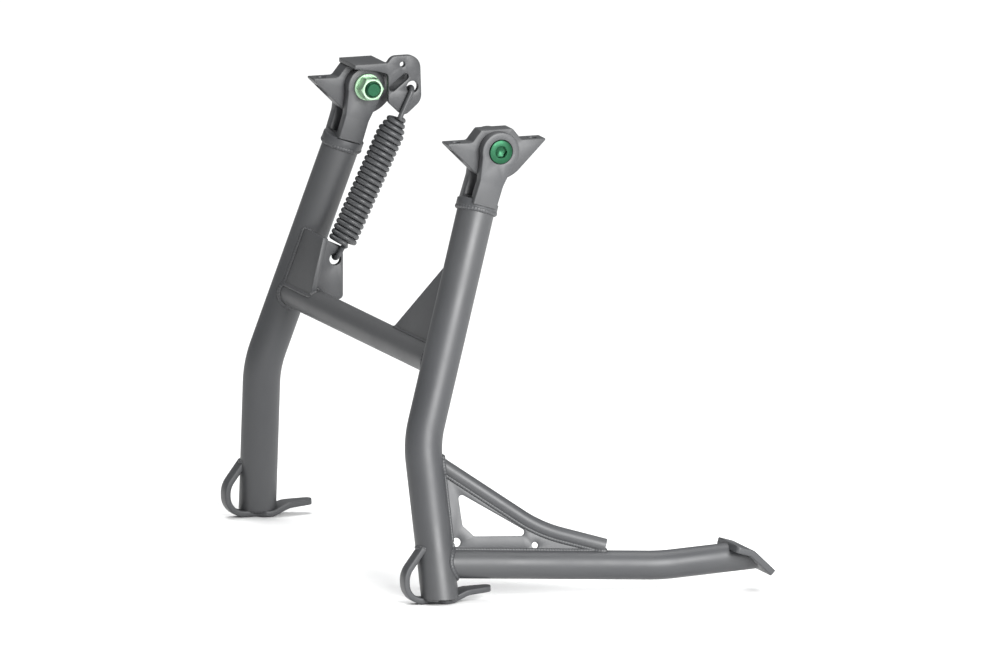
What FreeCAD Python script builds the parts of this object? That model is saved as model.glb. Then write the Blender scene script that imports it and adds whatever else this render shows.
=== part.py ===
"""Motorcycle centre stand: swinging tube frame, its two pivot brackets and the return spring.

Frame of the model: X forward, Y to the motorcycle's left, Z up, in millimetres. The origin is
midway between the two pivot brackets, in the plane of their bolted top faces.
The stand is modelled lowered, with both soles on the ground.
"""
import FreeCAD, Part

import math
import os
import re

import Sketcher

Vector = FreeCAD.Vector

doc = FreeCAD.newDocument("centre_stand")

# Driving dimensions in millimetres and degrees: alias, value, what it measures
DIMENSIONS = [
    # Pivot and fork
    ("fork_out", 6.0, "middle plane of each fork outboard of the leg axis"),
    ("fork_width", 29.0, "over the two cheeks of a fork"),
    ("fork_slot", 14.0, "between the two cheeks of a fork"),
    ("fork_throat", 34.8, "pivot axis to the floor of the fork's slot"),
    ("fork_base", 38.0, "pivot axis to the foot of the fork's cheeks"),
    ("hub_dia", 26.0, "round eye of a cheek"),
    ("strap_width", 17.0, "cheek below its eye"),
    ("strap_flare", 22.0, "pivot axis to where the cheek reaches its straight width"),
    ("flare_round", 12.0, "rounding between flare and straight cheek"),
    ("collar_dia", 28.0, "collar on top of the leg tube"),
    ("collar_top", 37.0, "pivot height to the collar's top, along the leg"),
    ("collar_height", 6.0, "collar on top of the leg tube"),
    # Legs
    ("leg_half", 124.5, "leg axis from the centre plane, at pivot height"),
    ("leg_dia", 25.0, "leg tube outside"),
    ("leg_wall", 2.5, "leg tube wall"),
    ("leg_lean", 17.2, "forward lean of the leg above its bend"),
    ("leg_splay", 9.25, "outward splay of the leg above its bend"),
    ("leg_upper", 202.0, "pivot height to the bend, along the leg"),
    ("leg_bend", 20.0, "bend between the leg's two stretches"),
    ("leg_roll", 8.6, "plane of the bend, turned outward from straight ahead"),
    ("leg_round", 70.0, "bend radius on the tube's axis"),
    ("pivot_height", 295.5, "pivot axis above the ground"),
    # Cross tube and gussets
    ("cross_dia", 19.0, "cross tube outside"),
    ("cross_wall", 2.0, "cross tube wall"),
    ("cross_drop", 147.0, "pivot axis to the cross tube, along the plane of the legs"),
    ("plate_thick", 4.0, "gussets and spring bracket"),
    ("gusset_toe", 55.0, "left gusset's inner corner from the centre plane"),
    ("gusset_rise", 73.0, "pivot axis to the left gusset's top, along the plane of the legs"),
    ("panel_high", 44.0, "right gusset's top above the cross tube, along the plane of the legs"),
    ("panel_ahead", 6.5, "right gusset ahead of the plane of the legs"),
    ("head_inset", 13.5, "right gusset's upper inner corner inboard of the spring"),
    ("toe_inset", 20.5, "right gusset's lower inner corner inboard of the spring"),
    ("spring_in", 17.0, "plane of the spring inboard of the leg axis"),
    # Spring and its two ends
    ("eye_back", 28.5, "upper spring eye behind the pivot axis"),
    ("eye_up", 0.0, "upper spring eye above the pivot axis"),
    ("hook_above", 21.5, "cross tube's drop less the spring's length, stand lowered"),
    ("spring_slope", 25.75, "spring from the vertical, stand lowered"),
    ("coil_dia", 19.0, "spring outside"),
    ("wire_dia", 3.6, "spring wire"),
    ("coil_pitch", 3.9, "coil to coil, spring stretched"),
    ("coil_top", 33.8, "upper eye to the first full turn"),
    ("hook_reach", 9.8, "last coil to the lower eye"),
    ("taper_top", 22.0, "upper eye to the top of the tapered end"),
    ("hook_gap", 0.3, "hook wire to the plate it holds"),
    ("eye_hole", 8.0, "hole that takes a spring hook"),
    ("anchor_thick", 4.0, "spring anchor's arm"),
    ("flange_thick", 3.0, "spring anchor's flange on the bracket"),
    ("flange_front", 12.0, "spring anchor's flange ahead of the pivot axis"),
    ("arm_crest", 7.5, "arm's top above the hump"),
    ("arm_behind", 6.5, "arm behind the upper eye"),
    ("arm_ahead", 17.0, "arm ahead of the upper eye"),
    ("arm_side", 9.5, "half of the arm's straight sides"),
    ("arm_tip", 20.0, "arm's rounded tip below the eye"),
    ("tip_ahead", 6.0, "arm's rounded tip ahead of the upper eye"),
    ("spare_hole", 3.6, "small hole above the eye"),
    ("spare_ahead", 7.0, "small hole ahead of the upper eye"),
    ("spare_rise", 1.5, "small hole above the hump"),
    ("slot_width", 4.6, "slanted window in the anchor"),
    ("slot_length", 11.5, "slanted window between its end centres"),
    ("slot_ahead", 14.0, "slanted window's front end ahead of the upper eye"),
    ("slot_slant", 142.0, "slanted window from straight ahead"),
    # Brackets on the motorcycle frame
    ("bracket_width", 13.4, "bracket between the cheeks"),
    ("ear_reach", 34.3, "ear's tip from the pivot axis"),
    ("ear_top", 6.0, "bolted top face above the pivot axis"),
    ("ear_tip", 1.3, "blunt height of the ear's tip"),
    ("ear_round", 22.5, "rounding under the bracket"),
    ("hump_half", 11.0, "half of the flat over the pivot"),
    ("hump_foot", 17.5, "foot of the hump's shoulder from the pivot axis"),
    ("hump_top", 14.0, "flat over the pivot above the pivot axis"),
    ("mount_half", 27.0, "bolt hole from the pivot axis"),
    ("mount_hole", 6.6, "clearance hole for M6"),
    ("mount_seat", 11.0, "spot face for the screw head"),
    ("seat_depth", 5.5, "metal left above the spot face"),
    # Pivot hardware
    ("bolt_dia", 10.0, "pivot bolt M10"),
    ("bolt_clear", 0.2, "diameter clearance round the bolt"),
    ("head_dia", 16.0, "low socket head"),
    ("head_height", 6.0, "low socket head"),
    ("head_proud", 0.7, "head outside the cheek's face"),
    ("socket_flats", 7.0, "hexagon socket across flats"),
    ("socket_depth", 3.2, "hexagon socket"),
    ("bolt_end", 2.0, "bolt beyond the nut"),
    ("nut_flats", 14.0, "nut M10 across flats"),
    ("nut_height", 10.0, "nut M10"),
    ("washer_dia", 18.0, "washer"),
    ("washer_thick", 2.0, "washer"),
    ("sleeve_dia", 15.0, "sleeve clamped between the cheeks"),
    ("bush_dia", 18.0, "bronze bush pressed in the bracket"),
    ("run_clear", 0.1, "diameter clearance of bush on sleeve"),
    # Feet
    ("foot_width", 22.0, "foot strap"),
    ("foot_thick", 4.0, "foot strap"),
    ("foot_in", 2.1995, "foot's middle inboard of the leg axis on the ground"),
    ("foot_origin", 54.8733, "leg axis on the ground, in the foot's own measures"),
    ("foot_start", 70.5, "upper end of the foot's loop, on the front of the leg"),
    ("foot_front", 81.0, "front of the foot's loop"),
    ("foot_top", 41.0, "top of the foot's loop above the ground"),
    ("foot_round", 17.0, "rounding at the front of the loop"),
    ("tongue_end", 22.0, "rear end of the tongue"),
    ("tongue_rise", 4.0, "rear end of the tongue above the ground"),
    ("sole_back", 41.0, "rear end of the flat sole"),
    # Foot lever
    ("lever_dia", 19.5, "lever tube outside"),
    ("lever_wall", 2.0, "lever tube wall"),
    ("root_fore", 1.947, "lever's root ahead of the leg axis"),
    ("root_in", 1.6933, "lever's root inboard of the leg axis"),
    ("root_height", 25.5, "lever's root above the ground"),
    ("lever_out", 13.7, "lever's first stretch, outboard of straight back"),
    ("lever_fall", 1.5, "lever's first stretch, below level"),
    ("lever_roll", 18.0, "plane of the lever's bend, from level"),
    ("lever_bend", 14.4, "bend between its two stretches"),
    ("lever_first", 152.5, "leg axis to the bend"),
    ("lever_round", 70.0, "bend radius on the tube's axis"),
    ("brace_thick", 4.5, "brace plate"),
    ("brace_tilt", 11.5, "brace from upright, to follow the leg"),
    ("window_round", 2.5, "corners of the brace plate's window"),
    ("window_near", 17.6, "window's upper corner from the lever's root"),
    ("window_high", 47.5, "window's upper corner above the lever"),
    ("window_step", 20.4, "window's second corner from the lever's root"),
    ("window_knee", 24.9, "window's second corner above the lever"),
    ("window_toe", 28.0, "window's third corner from the lever's root"),
    ("window_sill", 17.6, "window's third corner above the lever"),
    ("window_far", 68.5, "window's far corner from the lever's root"),
    ("window_tip", 17.3, "window's far corner above the lever"),
    ("drain_near", 16.2, "large drain hole from the lever's root"),
    ("drain_high", 13.9, "large drain hole above the lever"),
    ("drain_size", 6.0, "large drain hole across"),
    ("vent_far", 68.6, "small drain hole from the lever's root"),
    ("vent_high", 10.9, "small drain hole above the lever"),
    ("vent_size", 4.4, "small drain hole across"),
    ("rod_dia", 10.0, "rod along the brace plate"),
    ("rod_rise", 70.5, "rod's upper end above the lever, on the leg's axis"),
    ("rod_fall", 34.2, "rod's first stretch, below level"),
    ("rod_bend", 18.7, "bend between its two stretches"),
    ("rod_first", 86.9, "leg axis to the rod's bend"),
    ("rod_second", 45.7, "bend to the lever"),
    ("rod_round", 90.0, "bend radius on the rod's axis"),
    ("tread_width", 40.0, "tread across the lever"),
    ("tread_thick", 4.5, "tread plate"),
    ("tread_slope", 49.5, "tread's face from level, down to the rear"),
    ("tread_length", 27.0, "tread's slanted face"),
    ("tread_lip", 12.5, "tread's level lip"),
    ("tread_beyond", 54.5, "lever's bend to the tread's, straight back"),
    ("tread_rise", 10.0, "tread's bend above the lever's root"),
    ("tread_out", 37.0, "tread's middle outboard of the lever's root"),
]

# Sizes that follow from the others: alias, formula, what it measures
DERIVED = [
    ("fork_middle", "leg_half + fork_out", "middle plane of each fork from the centre plane"),
    ("spring_plane", "leg_half - spring_in", "plane of the spring from the centre plane"),
    ("panel_top", "cross_drop - panel_high", "pivot axis to the right gusset's top"),
    ("panel_head", "spring_plane - head_inset", "right gusset's upper inner corner from the centre plane"),
    ("panel_toe", "spring_plane - toe_inset", "right gusset's lower inner corner from the centre plane"),
    ("spring_length", "cross_drop - hook_above", "between the spring's two eyes, stand lowered"),
    ("coil_count", "floor((spring_length - hook_reach - coil_top) / coil_pitch + 0.01)",
     "full turns between the tapered end and the lower hook"),
    ("knee_ahead", "leg_upper * sin(leg_lean)", "leg's bend ahead of the pivot axis"),
    ("knee_out", "leg_upper * cos(leg_lean) * sin(leg_splay)", "leg's bend outboard of leg_half"),
    ("knee_drop", "leg_upper * cos(leg_lean) * cos(leg_splay)", "leg's bend below the pivot axis"),
    ("shin_fall", "cos(leg_bend) * cos(leg_lean) + sin(leg_bend) * cos(leg_roll) * sin(leg_lean)",
     "fall of the lower leg before its splay, for each unit along it"),
    ("shin_drop", "shin_fall * cos(leg_splay) - sin(leg_bend) * sin(leg_roll) * sin(leg_splay)",
     "fall of the lower leg, for each unit along it"),
    ("shin_ahead", "(cos(leg_bend) * sin(leg_lean) - sin(leg_bend) * cos(leg_roll) * cos(leg_lean)) / shin_drop",
     "run ahead for each unit of fall"),
    ("shin_out", "(shin_fall * sin(leg_splay) + sin(leg_bend) * sin(leg_roll) * cos(leg_splay)) / shin_drop",
     "run outward for each unit of fall"),
    ("leg_lower", "1.2 * (pivot_height - knee_drop) / shin_drop", "length below the bend before it is cut flat"),
    ("sole_ahead", "knee_ahead + (pivot_height - knee_drop) * shin_ahead", "leg axis on the ground"),
    ("foot_half", "leg_half + knee_out + (pivot_height - knee_drop) * shin_out - foot_in",
     "foot's middle from the centre plane"),
    ("root_ahead", "knee_ahead + (pivot_height - knee_drop - root_height) * shin_ahead + root_fore",
     "lever's root ahead of the pivot axis"),
    ("root_side", "leg_half + knee_out + (pivot_height - knee_drop - root_height) * shin_out - root_in",
     "lever's root from the centre plane"),
    ("lever_second", "1.6 * tread_beyond", "lever's bend to beyond the tread"),
    ("tread_back", "lever_first + tread_beyond - root_ahead", "tread's bend behind the pivot axis"),
    ("tread_side", "root_side + tread_out", "tread's middle from the centre plane"),
    ("tread_height", "root_height + tread_rise", "tread's bend above the ground"),
]

sheet = doc.addObject("Spreadsheet::Sheet", "Sizes")
formulas = [(alias, f"={formula}", meaning) for alias, formula, meaning in DERIVED]
for row, (alias, size, meaning) in enumerate(DIMENSIONS + formulas, start=1):
    sheet.set(f"A{row}", str(size))
    sheet.setAlias(f"A{row}", alias)
    sheet.set(f"B{row}", meaning)
doc.recompute()


def bound(expression):
    """An expression over the sheet's aliases; every alias has an underscore, no function has."""
    return re.sub(r"\b([a-z]+_[a-z]+)\b", r"Sizes.\1", str(expression))


def number(expression):
    """Present value of an expression over the sheet's aliases."""
    found = sheet.evalExpression(bound(expression))
    return float(getattr(found, "Value", found))


def vector_text(x, y, z):
    return f"create(<<vector>>; {x}; {y}; {z})"


def turned(axis, angle):
    """Placement expression: a turn about an axis through the origin."""
    around = {"x": vector_text(1, 0, 0), "y": vector_text(0, 1, 0), "z": vector_text(0, 0, 1)}[axis]
    return f"create(<<placement>>; {vector_text(0, 0, 0)}; create(<<rotation>>; {around}; {angle}))"


def moved(x, y, z):
    """Placement expression: a shift."""
    return f"create(<<placement>>; {vector_text(x, y, z)}; create(<<rotation>>; 0; 0; 0))"


def place(thing, *steps):
    """Bind the placement to the product of the steps, the outermost first."""
    thing.setExpression("Placement", bound(" * ".join(steps)))


# Frames that several pieces share
PIVOT = moved(0, 0, "-ear_top")
STAND_UPRIGHT = turned("x", 90)
PROJECTED_LEAN = "atan(tan(leg_lean) / cos(leg_splay))"


def fork_frame(side):
    """Pivot centre of one fork, turned so that local -Z runs down the fork's cheeks."""
    return [PIVOT, moved(0, f"{side} * fork_middle", 0), turned("y", f"-{PROJECTED_LEAN}")]


def leg_frame(side):
    """Leg axis at pivot height, turned so that local -Z runs down the upper leg."""
    return [PIVOT, moved(0, f"{side} * leg_half", 0), turned("x", f"{side} * leg_splay"), turned("y", "-leg_lean")]


def plane_frame():
    """Pivot axis, turned so that local -Z runs down in the plane of both upper legs."""
    return [PIVOT, turned("y", f"-{PROJECTED_LEAN}")]


# Where the lever's axis meets the left leg's
LEVER_ROOT = moved("root_ahead", "root_side", "-ear_top - pivot_height + root_height")


def lever_frame():
    """Lever's root, local X along its first stretch and its bend in the local XY plane."""
    return [LEVER_ROOT, turned("z", "180 - lever_out"), turned("y", "lever_fall"), turned("x", "lever_roll")]


def brace_frame():
    """Lever's root, local X level along the lever and local Z up along the leg."""
    return [LEVER_ROOT, turned("z", "180 - lever_out"), turned("x", "-brace_tilt")]


def pin_point(sketch, geometry, corner, tag):
    """Tie a construction point to two expressions."""
    for axis, expression in zip("XY", corner):
        index = sketch.addConstraint(
            Sketcher.Constraint("Distance" + axis, -1, 1, geometry, 1, number(expression)))
        sketch.renameConstraint(index, tag + axis)
        sketch.setExpression(f"Constraints.{tag}{axis}", bound(expression))


def draw_line_chain(sketch, corners, closed):
    """Straight runs between the corners, rounded where a corner gives a radius.

    Each corner is (x, y) or (x, y, radius), as expressions over the sheet.
    """
    points = [Vector(number(c[0]), number(c[1]), 0) for c in corners]
    count = len(points)
    marks = [sketch.addGeometry(Part.Point(p), True) for p in points]
    for index, (mark, corner) in enumerate(zip(marks, corners)):
        pin_point(sketch, mark, corner[:2], f"corner{index}")
    cuts = []
    for index, corner in enumerate(corners):
        inner = closed or 0 < index < count - 1
        if len(corner) < 3 or not inner:
            cuts.append(None)
            continue
        back = (points[index - 1] - points[index]).normalize()
        ahead = (points[(index + 1) % count] - points[index]).normalize()
        half = back.getAngle(ahead) / 2
        radius = number(corner[2])
        reach = radius / math.tan(half)
        middle = points[index] + (back + ahead).normalize() * (radius / math.sin(half))
        cuts.append((points[index] + back * reach, points[index] + ahead * reach, middle, radius))
    runs = count if closed else count - 1
    lines = []
    for index in range(runs):
        after = (index + 1) % count
        start = cuts[index][1] if cuts[index] else points[index]
        end = cuts[after][0] if cuts[after] else points[after]
        lines.append(sketch.addGeometry(Part.LineSegment(start, end), False))
    for index, cut in enumerate(cuts):
        before = lines[index - 1] if (closed or index > 0) else None
        after = lines[index] if index < len(lines) else None
        if cut is None:
            if before is not None:
                sketch.addConstraint(Sketcher.Constraint("Coincident", before, 2, marks[index], 1))
            if after is not None:
                sketch.addConstraint(Sketcher.Constraint("Coincident", after, 1, marks[index], 1))
            continue
        start, end, middle, radius = cut
        turn = (start - middle).cross(end - middle).z
        first, last = (start, end) if turn > 0 else (end, start)
        circle = Part.Circle(middle, Vector(0, 0, 1), radius)
        arc = Part.ArcOfCircle(circle, circle.parameter(first), circle.parameter(last))
        bend = sketch.addGeometry(arc, False)
        entry, leave = (1, 2) if turn > 0 else (2, 1)
        sketch.addConstraint(Sketcher.Constraint("Tangent", before, 2, bend, entry))
        sketch.addConstraint(Sketcher.Constraint("Tangent", bend, leave, after, 1))
        sketch.addConstraint(Sketcher.Constraint("PointOnObject", marks[index], 1, before))
        sketch.addConstraint(Sketcher.Constraint("PointOnObject", marks[index], 1, after))
        index_radius = sketch.addConstraint(Sketcher.Constraint("Radius", bend, radius))
        sketch.renameConstraint(index_radius, f"round{index}")
        sketch.setExpression(f"Constraints.round{index}", bound(corners[index][2]))


def draw_circle(sketch, x, y, radius, tag="ring"):
    """A circle tied to expressions."""
    circle = sketch.addGeometry(Part.Circle(Vector(number(x), number(y), 0), Vector(0, 0, 1), number(radius)), False)
    for axis, expression in (("X", x), ("Y", y)):
        index = sketch.addConstraint(
            Sketcher.Constraint("Distance" + axis, -1, 1, circle, 3, number(expression)))
        sketch.renameConstraint(index, tag + axis)
        sketch.setExpression(f"Constraints.{tag}{axis}", bound(expression))
    index = sketch.addConstraint(Sketcher.Constraint("Radius", circle, number(radius)))
    sketch.renameConstraint(index, tag + "R")
    sketch.setExpression(f"Constraints.{tag}R", bound(radius))


def new_body(name):
    return doc.addObject("PartDesign::Body", name)


def new_sketch(body, plane, name, lift=None):
    """A sketch on one of the body's own origin planes, lifted off it by an expression."""
    sketch = body.newObject("Sketcher::SketchObject", name)
    support = next(f for f in body.Origin.OriginFeatures if f.Role == plane)
    sketch.AttachmentSupport = [(support, "")]
    sketch.MapMode = "FlatFace"
    if lift is not None:
        sketch.setExpression("AttachmentOffset.Base.z", bound(lift))
    return sketch


def pad_body(name, plane, corners, thickness, *steps):
    """A plate of one outline, its thickness shared equally by both sides of the plane."""
    body = new_body(name)
    outline = new_sketch(body, plane, name + "_outline")
    draw_line_chain(outline, corners, closed=True)
    pad = body.newObject("PartDesign::Pad", name + "_pad")
    pad.Profile = outline
    pad.SideType = "Symmetric"
    pad.setExpression("Length", bound(thickness))
    place(body, *steps)
    return body


def pipe_body(name, spine_plane, spine, profile_plane, centre, radius, lift, *steps):
    """A round bar that follows a bent spine, starting square to its profile's plane."""
    body = new_body(name)
    profile = new_sketch(body, profile_plane, name + "_profile", lift)
    draw_circle(profile, centre[0], centre[1], radius)
    path = new_sketch(body, spine_plane, name + "_spine")
    draw_line_chain(path, spine, closed=False)
    pipe = body.newObject("PartDesign::AdditivePipe", name + "_pipe")
    pipe.Profile = profile
    pipe.Spine = (path, [])
    place(body, *steps)
    return body


def bent_strap(name, path, thickness, width, *steps):
    """A flat strap bent along a path: the path is one of its faces, thickness to the right of it."""
    sketch = doc.addObject("Sketcher::SketchObject", name + "_face")
    draw_line_chain(sketch, path, closed=False)
    band = doc.addObject("Part::Offset2D", name + "_band")
    band.Source = sketch
    band.Mode = "Skin"
    band.Join = "Intersection"
    band.Fill = True
    band.setExpression("Value", bound(thickness))
    strap = doc.addObject("Part::Extrusion", name)
    strap.Base = band
    strap.DirMode = "Custom"
    strap.Dir = Vector(0, 0, 1)
    strap.Solid = True
    strap.Symmetric = True
    strap.setExpression("LengthFwd", bound(width))
    place(strap, *steps)
    return strap


def cylinder(name, radius, height, *steps):
    """A round bar along local Z from its own origin."""
    bar = doc.addObject("Part::Cylinder", name)
    bar.setExpression("Radius", bound(radius))
    bar.setExpression("Height", bound(height))
    place(bar, *steps)
    return bar


def box(name, length, width, height, *steps):
    """A block with one corner at its own origin."""
    block = doc.addObject("Part::Box", name)
    block.setExpression("Length", bound(length))
    block.setExpression("Width", bound(width))
    block.setExpression("Height", bound(height))
    place(block, *steps)
    return block


def hexagon(name, flats, height, *steps):
    """A hexagonal prism along local Z from its own origin."""
    prism = doc.addObject("Part::Prism", name)
    prism.Polygon = 6
    prism.setExpression("Circumradius", bound(f"{flats} / 2 / cos(30)"))
    prism.setExpression("Height", bound(height))
    place(prism, *steps)
    return prism


def fuse(name, *things):
    joined = doc.addObject("Part::MultiFuse", name)
    joined.Shapes = list(things)
    joined.Refine = True
    return joined


def cut(name, base, *tools):
    """The base less its tools."""
    result = doc.addObject("Part::Cut", name)
    result.Base = base
    result.Tool = tools[0] if len(tools) == 1 else fuse(name + "_tools", *tools)
    result.Refine = False
    return result


nodes = {}


def finish(node, thing):
    """Name the finished piece."""
    thing.Label = node
    nodes[node] = thing


SIDES = {"left": 1, "right": -1}
leg_bars = {}


def leg_bar(name, side, radius):
    """One leg as a round bar: straight down from the collar, then bent towards upright."""
    spine = [
        (0, "-collar_top - collar_height"),
        (0, "-leg_upper", "leg_round"),
        ("-leg_lower * sin(leg_bend)", "-leg_upper - leg_lower * cos(leg_bend)"),
    ]
    return pipe_body(name, "XZ_Plane", spine, "XY_Plane", (0, 0), radius, "-collar_top - collar_height",
                     *leg_frame(side), turned("z", f"-{side} * leg_roll"))


def ground_block(name, side, top):
    """A block under one leg, from a height above the ground downwards."""
    return box(name, 200, 200, 100,
               moved("sole_ahead - 100", f"{side} * foot_half - 100", f"-ear_top - pivot_height + {top} - 100"))


def make_leg(word, side):
    """Leg tube, standing on the foot strap whose loop is welded to the tube's front."""
    bar = leg_bar(f"leg_bar_{word}", side, "leg_dia / 2")
    bore = leg_bar(f"leg_bore_{word}", side, "leg_dia / 2 - leg_wall")
    strap = bent_strap(f"foot_{word}_strap", [
        ("foot_start", "foot_top"),
        ("foot_front", "foot_top - 14", "foot_round"),
        ("foot_front - 1", 0, "foot_round"),
        ("sole_back", 0, 20),
        ("tongue_end", "tongue_rise"),
    ], "foot_thick", "foot_width",
        moved("sole_ahead - foot_origin", f"{side} * foot_half", "-ear_top - pivot_height"), STAND_UPRIGHT)
    shin = cut(f"shin_{word}", bar, ground_block(f"loop_{word}", side, "foot_top / 2"))
    foot = cut(f"foot_{word}_cut", strap, shin)
    finish(f"foot_{word}", foot)
    leg_bars[word] = cut(f"leg_{word}_solid", bar, ground_block(f"ground_{word}", side, "foot_thick"), foot)
    finish(f"leg_tube_{word}", cut(f"leg_{word}_cut", leg_bars[word], bore))


def make_fork(word, side):
    """Fork on top of a leg: two cheeks with round eyes, on a collar that is square to the leg."""
    cheeks = [
        ("-hub_dia / 2 * 0.9", "-hub_dia / 2 * 0.35"),
        ("-strap_width / 2", "-strap_flare", "flare_round"),
        ("-strap_width / 2", "-fork_base"),
        ("strap_width / 2", "-fork_base"),
        ("strap_width / 2", "-strap_flare", "flare_round"),
        ("hub_dia / 2 * 0.9", "-hub_dia / 2 * 0.35"),
    ]
    strap = pad_body(f"cheeks_{word}", "XZ_Plane", cheeks, "fork_width", *fork_frame(side))
    across = [*fork_frame(side), STAND_UPRIGHT]
    hub = cylinder(f"hub_{word}", "hub_dia / 2", "fork_width", *across, moved(0, 0, "-fork_width / 2"))
    collar = cylinder(f"collar_{word}", "collar_dia / 2", "collar_height",
                      *leg_frame(side), moved(0, 0, "-collar_top - collar_height"))
    slot = box(f"slot_{word}", "2 * hub_dia", "fork_slot", "fork_throat + hub_dia",
               *fork_frame(side), moved("-hub_dia", "-fork_slot / 2", "-fork_throat"))
    bore = cylinder(f"fork_bore_{word}", "(bolt_dia + bolt_clear) / 2", "2 * fork_width",
                    *across, moved(0, 0, "-fork_width"))
    outward = moved(0, 0, 0) if side < 0 else turned("x", 180)
    recess = cylinder(f"recess_{word}", "(head_dia + 2 * bolt_clear) / 2", "head_height",
                      *across, outward, moved(0, 0, "fork_width / 2 + head_proud - head_height"))
    finish(f"leg_fork_{word}", cut(f"fork_{word}_cut", fuse(f"fork_{word}_blank", hub, strap, collar), slot, bore, recess))


def make_pivot(word, side):
    """Bolt, nut and washer through the fork, the sleeve that they clamp and its bush."""
    outward = turned("x", -90) if side > 0 else turned("x", 90)
    axis = [PIVOT, moved(0, f"{side} * fork_middle", 0), outward]
    head_face = "fork_width / 2 + head_proud"
    nut_face = "fork_width / 2 + washer_thick + nut_height"
    shank = cylinder(f"shank_{word}", "bolt_dia / 2", f"{head_face} + {nut_face} + bolt_end",
                     *axis, moved(0, 0, f"-({nut_face}) - bolt_end"))
    head = cylinder(f"head_{word}", "head_dia / 2", "head_height", *axis, moved(0, 0, f"{head_face} - head_height"))
    socket = hexagon(f"socket_{word}", "socket_flats", "socket_depth + 1",
                     *axis, moved(0, 0, f"{head_face} - socket_depth"))
    finish(f"pivot_bolt_{word}", cut(f"bolt_{word}_cut", fuse(f"bolt_{word}_blank", shank, head), socket))
    inside = "fork_width / 2 + washer_thick"
    ring = cylinder(f"washer_{word}_disc", "washer_dia / 2", "washer_thick", *axis, moved(0, 0, f"-({inside})"))
    hole = cylinder(f"washer_{word}_hole", "(bolt_dia + bolt_clear) / 2", "2 * washer_thick",
                    *axis, moved(0, 0, f"-({inside}) - washer_thick / 2"))
    finish(f"pivot_washer_{word}", cut(f"washer_{word}_cut", ring, hole))
    nut = hexagon(f"nut_{word}_hex", "nut_flats", "nut_height", *axis, moved(0, 0, f"-({nut_face})"))
    thread = cylinder(f"nut_{word}_hole", "bolt_dia / 2", "2 * nut_height",
                      *axis, moved(0, 0, f"-({nut_face}) - nut_height / 2"))
    finish(f"pivot_nut_{word}", cut(f"nut_{word}_cut", nut, thread))
    sleeve = cylinder(f"sleeve_{word}_bar", "sleeve_dia / 2", "fork_slot", *axis, moved(0, 0, "-fork_slot / 2"))
    sleeve_bore = cylinder(f"sleeve_{word}_bore", "(bolt_dia + bolt_clear) / 2", "2 * fork_slot",
                           *axis, moved(0, 0, "-fork_slot"))
    finish(f"pivot_sleeve_{word}", cut(f"sleeve_{word}_cut", sleeve, sleeve_bore))
    bush = cylinder(f"bush_{word}_bar", "bush_dia / 2", "bracket_width", *axis, moved(0, 0, "-bracket_width / 2"))
    bush_bore = cylinder(f"bush_{word}_bore", "(sleeve_dia + run_clear) / 2", "2 * bracket_width",
                         *axis, moved(0, 0, "-bracket_width"))
    finish(f"bracket_bush_{word}", cut(f"bush_{word}_cut", bush, bush_bore))


def make_bracket(word, side):
    """Gull-wing bracket: two bolted ears, a flat hump over the pivot and a rounded keel under it."""
    keel = "ear_top - ear_tip - ear_reach"
    half = [
        ("ear_reach", "ear_top"),
        ("hump_foot", "ear_top", 3),
        ("hump_half", "hump_top", 2),
    ]
    mirrored = [(f"-({x})", *rest) for x, *rest in reversed(half)]
    outline = [*half, *mirrored, ("-ear_reach", "ear_top - ear_tip"), (0, keel, "ear_round"),
               ("ear_reach", "ear_top - ear_tip")]
    middle = [PIVOT, moved(0, f"{side} * fork_middle", 0)]
    blank = pad_body(f"bracket_{word}_plate", "XZ_Plane", outline, "bracket_width", *middle)
    tools = [cylinder(f"bracket_{word}_bore", "bush_dia / 2", "2 * bracket_width",
                      *middle, STAND_UPRIGHT, moved(0, 0, "-bracket_width"))]
    for end, forward in (("front", 1), ("rear", -1)):
        spot = [*middle, moved(f"{forward} * mount_half", 0, "ear_top")]
        tools.append(cylinder(f"mount_{word}_{end}", "mount_hole / 2", "2 * hump_top", *spot, moved(0, 0, "-hump_top")))
        tools.append(cylinder(f"seat_{word}_{end}", "mount_seat / 2", "2 * hump_top",
                              *spot, moved(0, 0, "-seat_depth - 2 * hump_top")))
    finish(f"pivot_bracket_{word}", cut(f"bracket_{word}_cut", blank, *tools))


for word, side in SIDES.items():
    make_leg(word, side)
    make_fork(word, side)
    make_pivot(word, side)
    make_bracket(word, side)

# Cross tube, coped to both legs
CROSS = [*plane_frame(), moved(0, 0, "-cross_drop"), STAND_UPRIGHT]
cross_bar = cylinder("cross_bar", "cross_dia / 2", "2 * leg_half + cross_drop / 2",
                     *CROSS, moved(0, 0, "-leg_half - cross_drop / 4"))
cross_bore = cylinder("cross_bore", "cross_dia / 2 - cross_wall", "2 * leg_half + cross_drop",
                      *CROSS, moved(0, 0, "-leg_half - cross_drop / 2"))
outer_left = box("beyond_left", 300, 100, 400, moved(-100, "leg_half + cross_drop * tan(leg_splay)", -350))
outer_right = box("beyond_right", 300, 100, 400, moved(-100, "-leg_half - cross_drop * tan(leg_splay) - 100", -350))
finish("cross_tube", cut("cross_cut", cross_bar, cross_bore, leg_bars["left"], leg_bars["right"],
                         outer_left, outer_right))

# Gussets along the upper legs, coped to leg and cross tube
PLATE_SLOPE = "tan(asin(sin(leg_splay) * cos(leg_lean)))"
left_outline = [
    ("gusset_toe", "-cross_drop"),
    (f"leg_half + cross_drop * {PLATE_SLOPE}", "-cross_drop"),
    (f"leg_half + gusset_rise * {PLATE_SLOPE}", "-gusset_rise + leg_dia / 2 * 0.86"),
    ("gusset_toe", "-cross_drop + cross_dia / 2 + 1"),
]
left_blank = pad_body("gusset_left_plate", "YZ_Plane", left_outline, "plate_thick", *plane_frame())
finish("gusset_left", cut("gusset_left_cut", left_blank, cross_bar, leg_bars["left"]))

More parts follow.
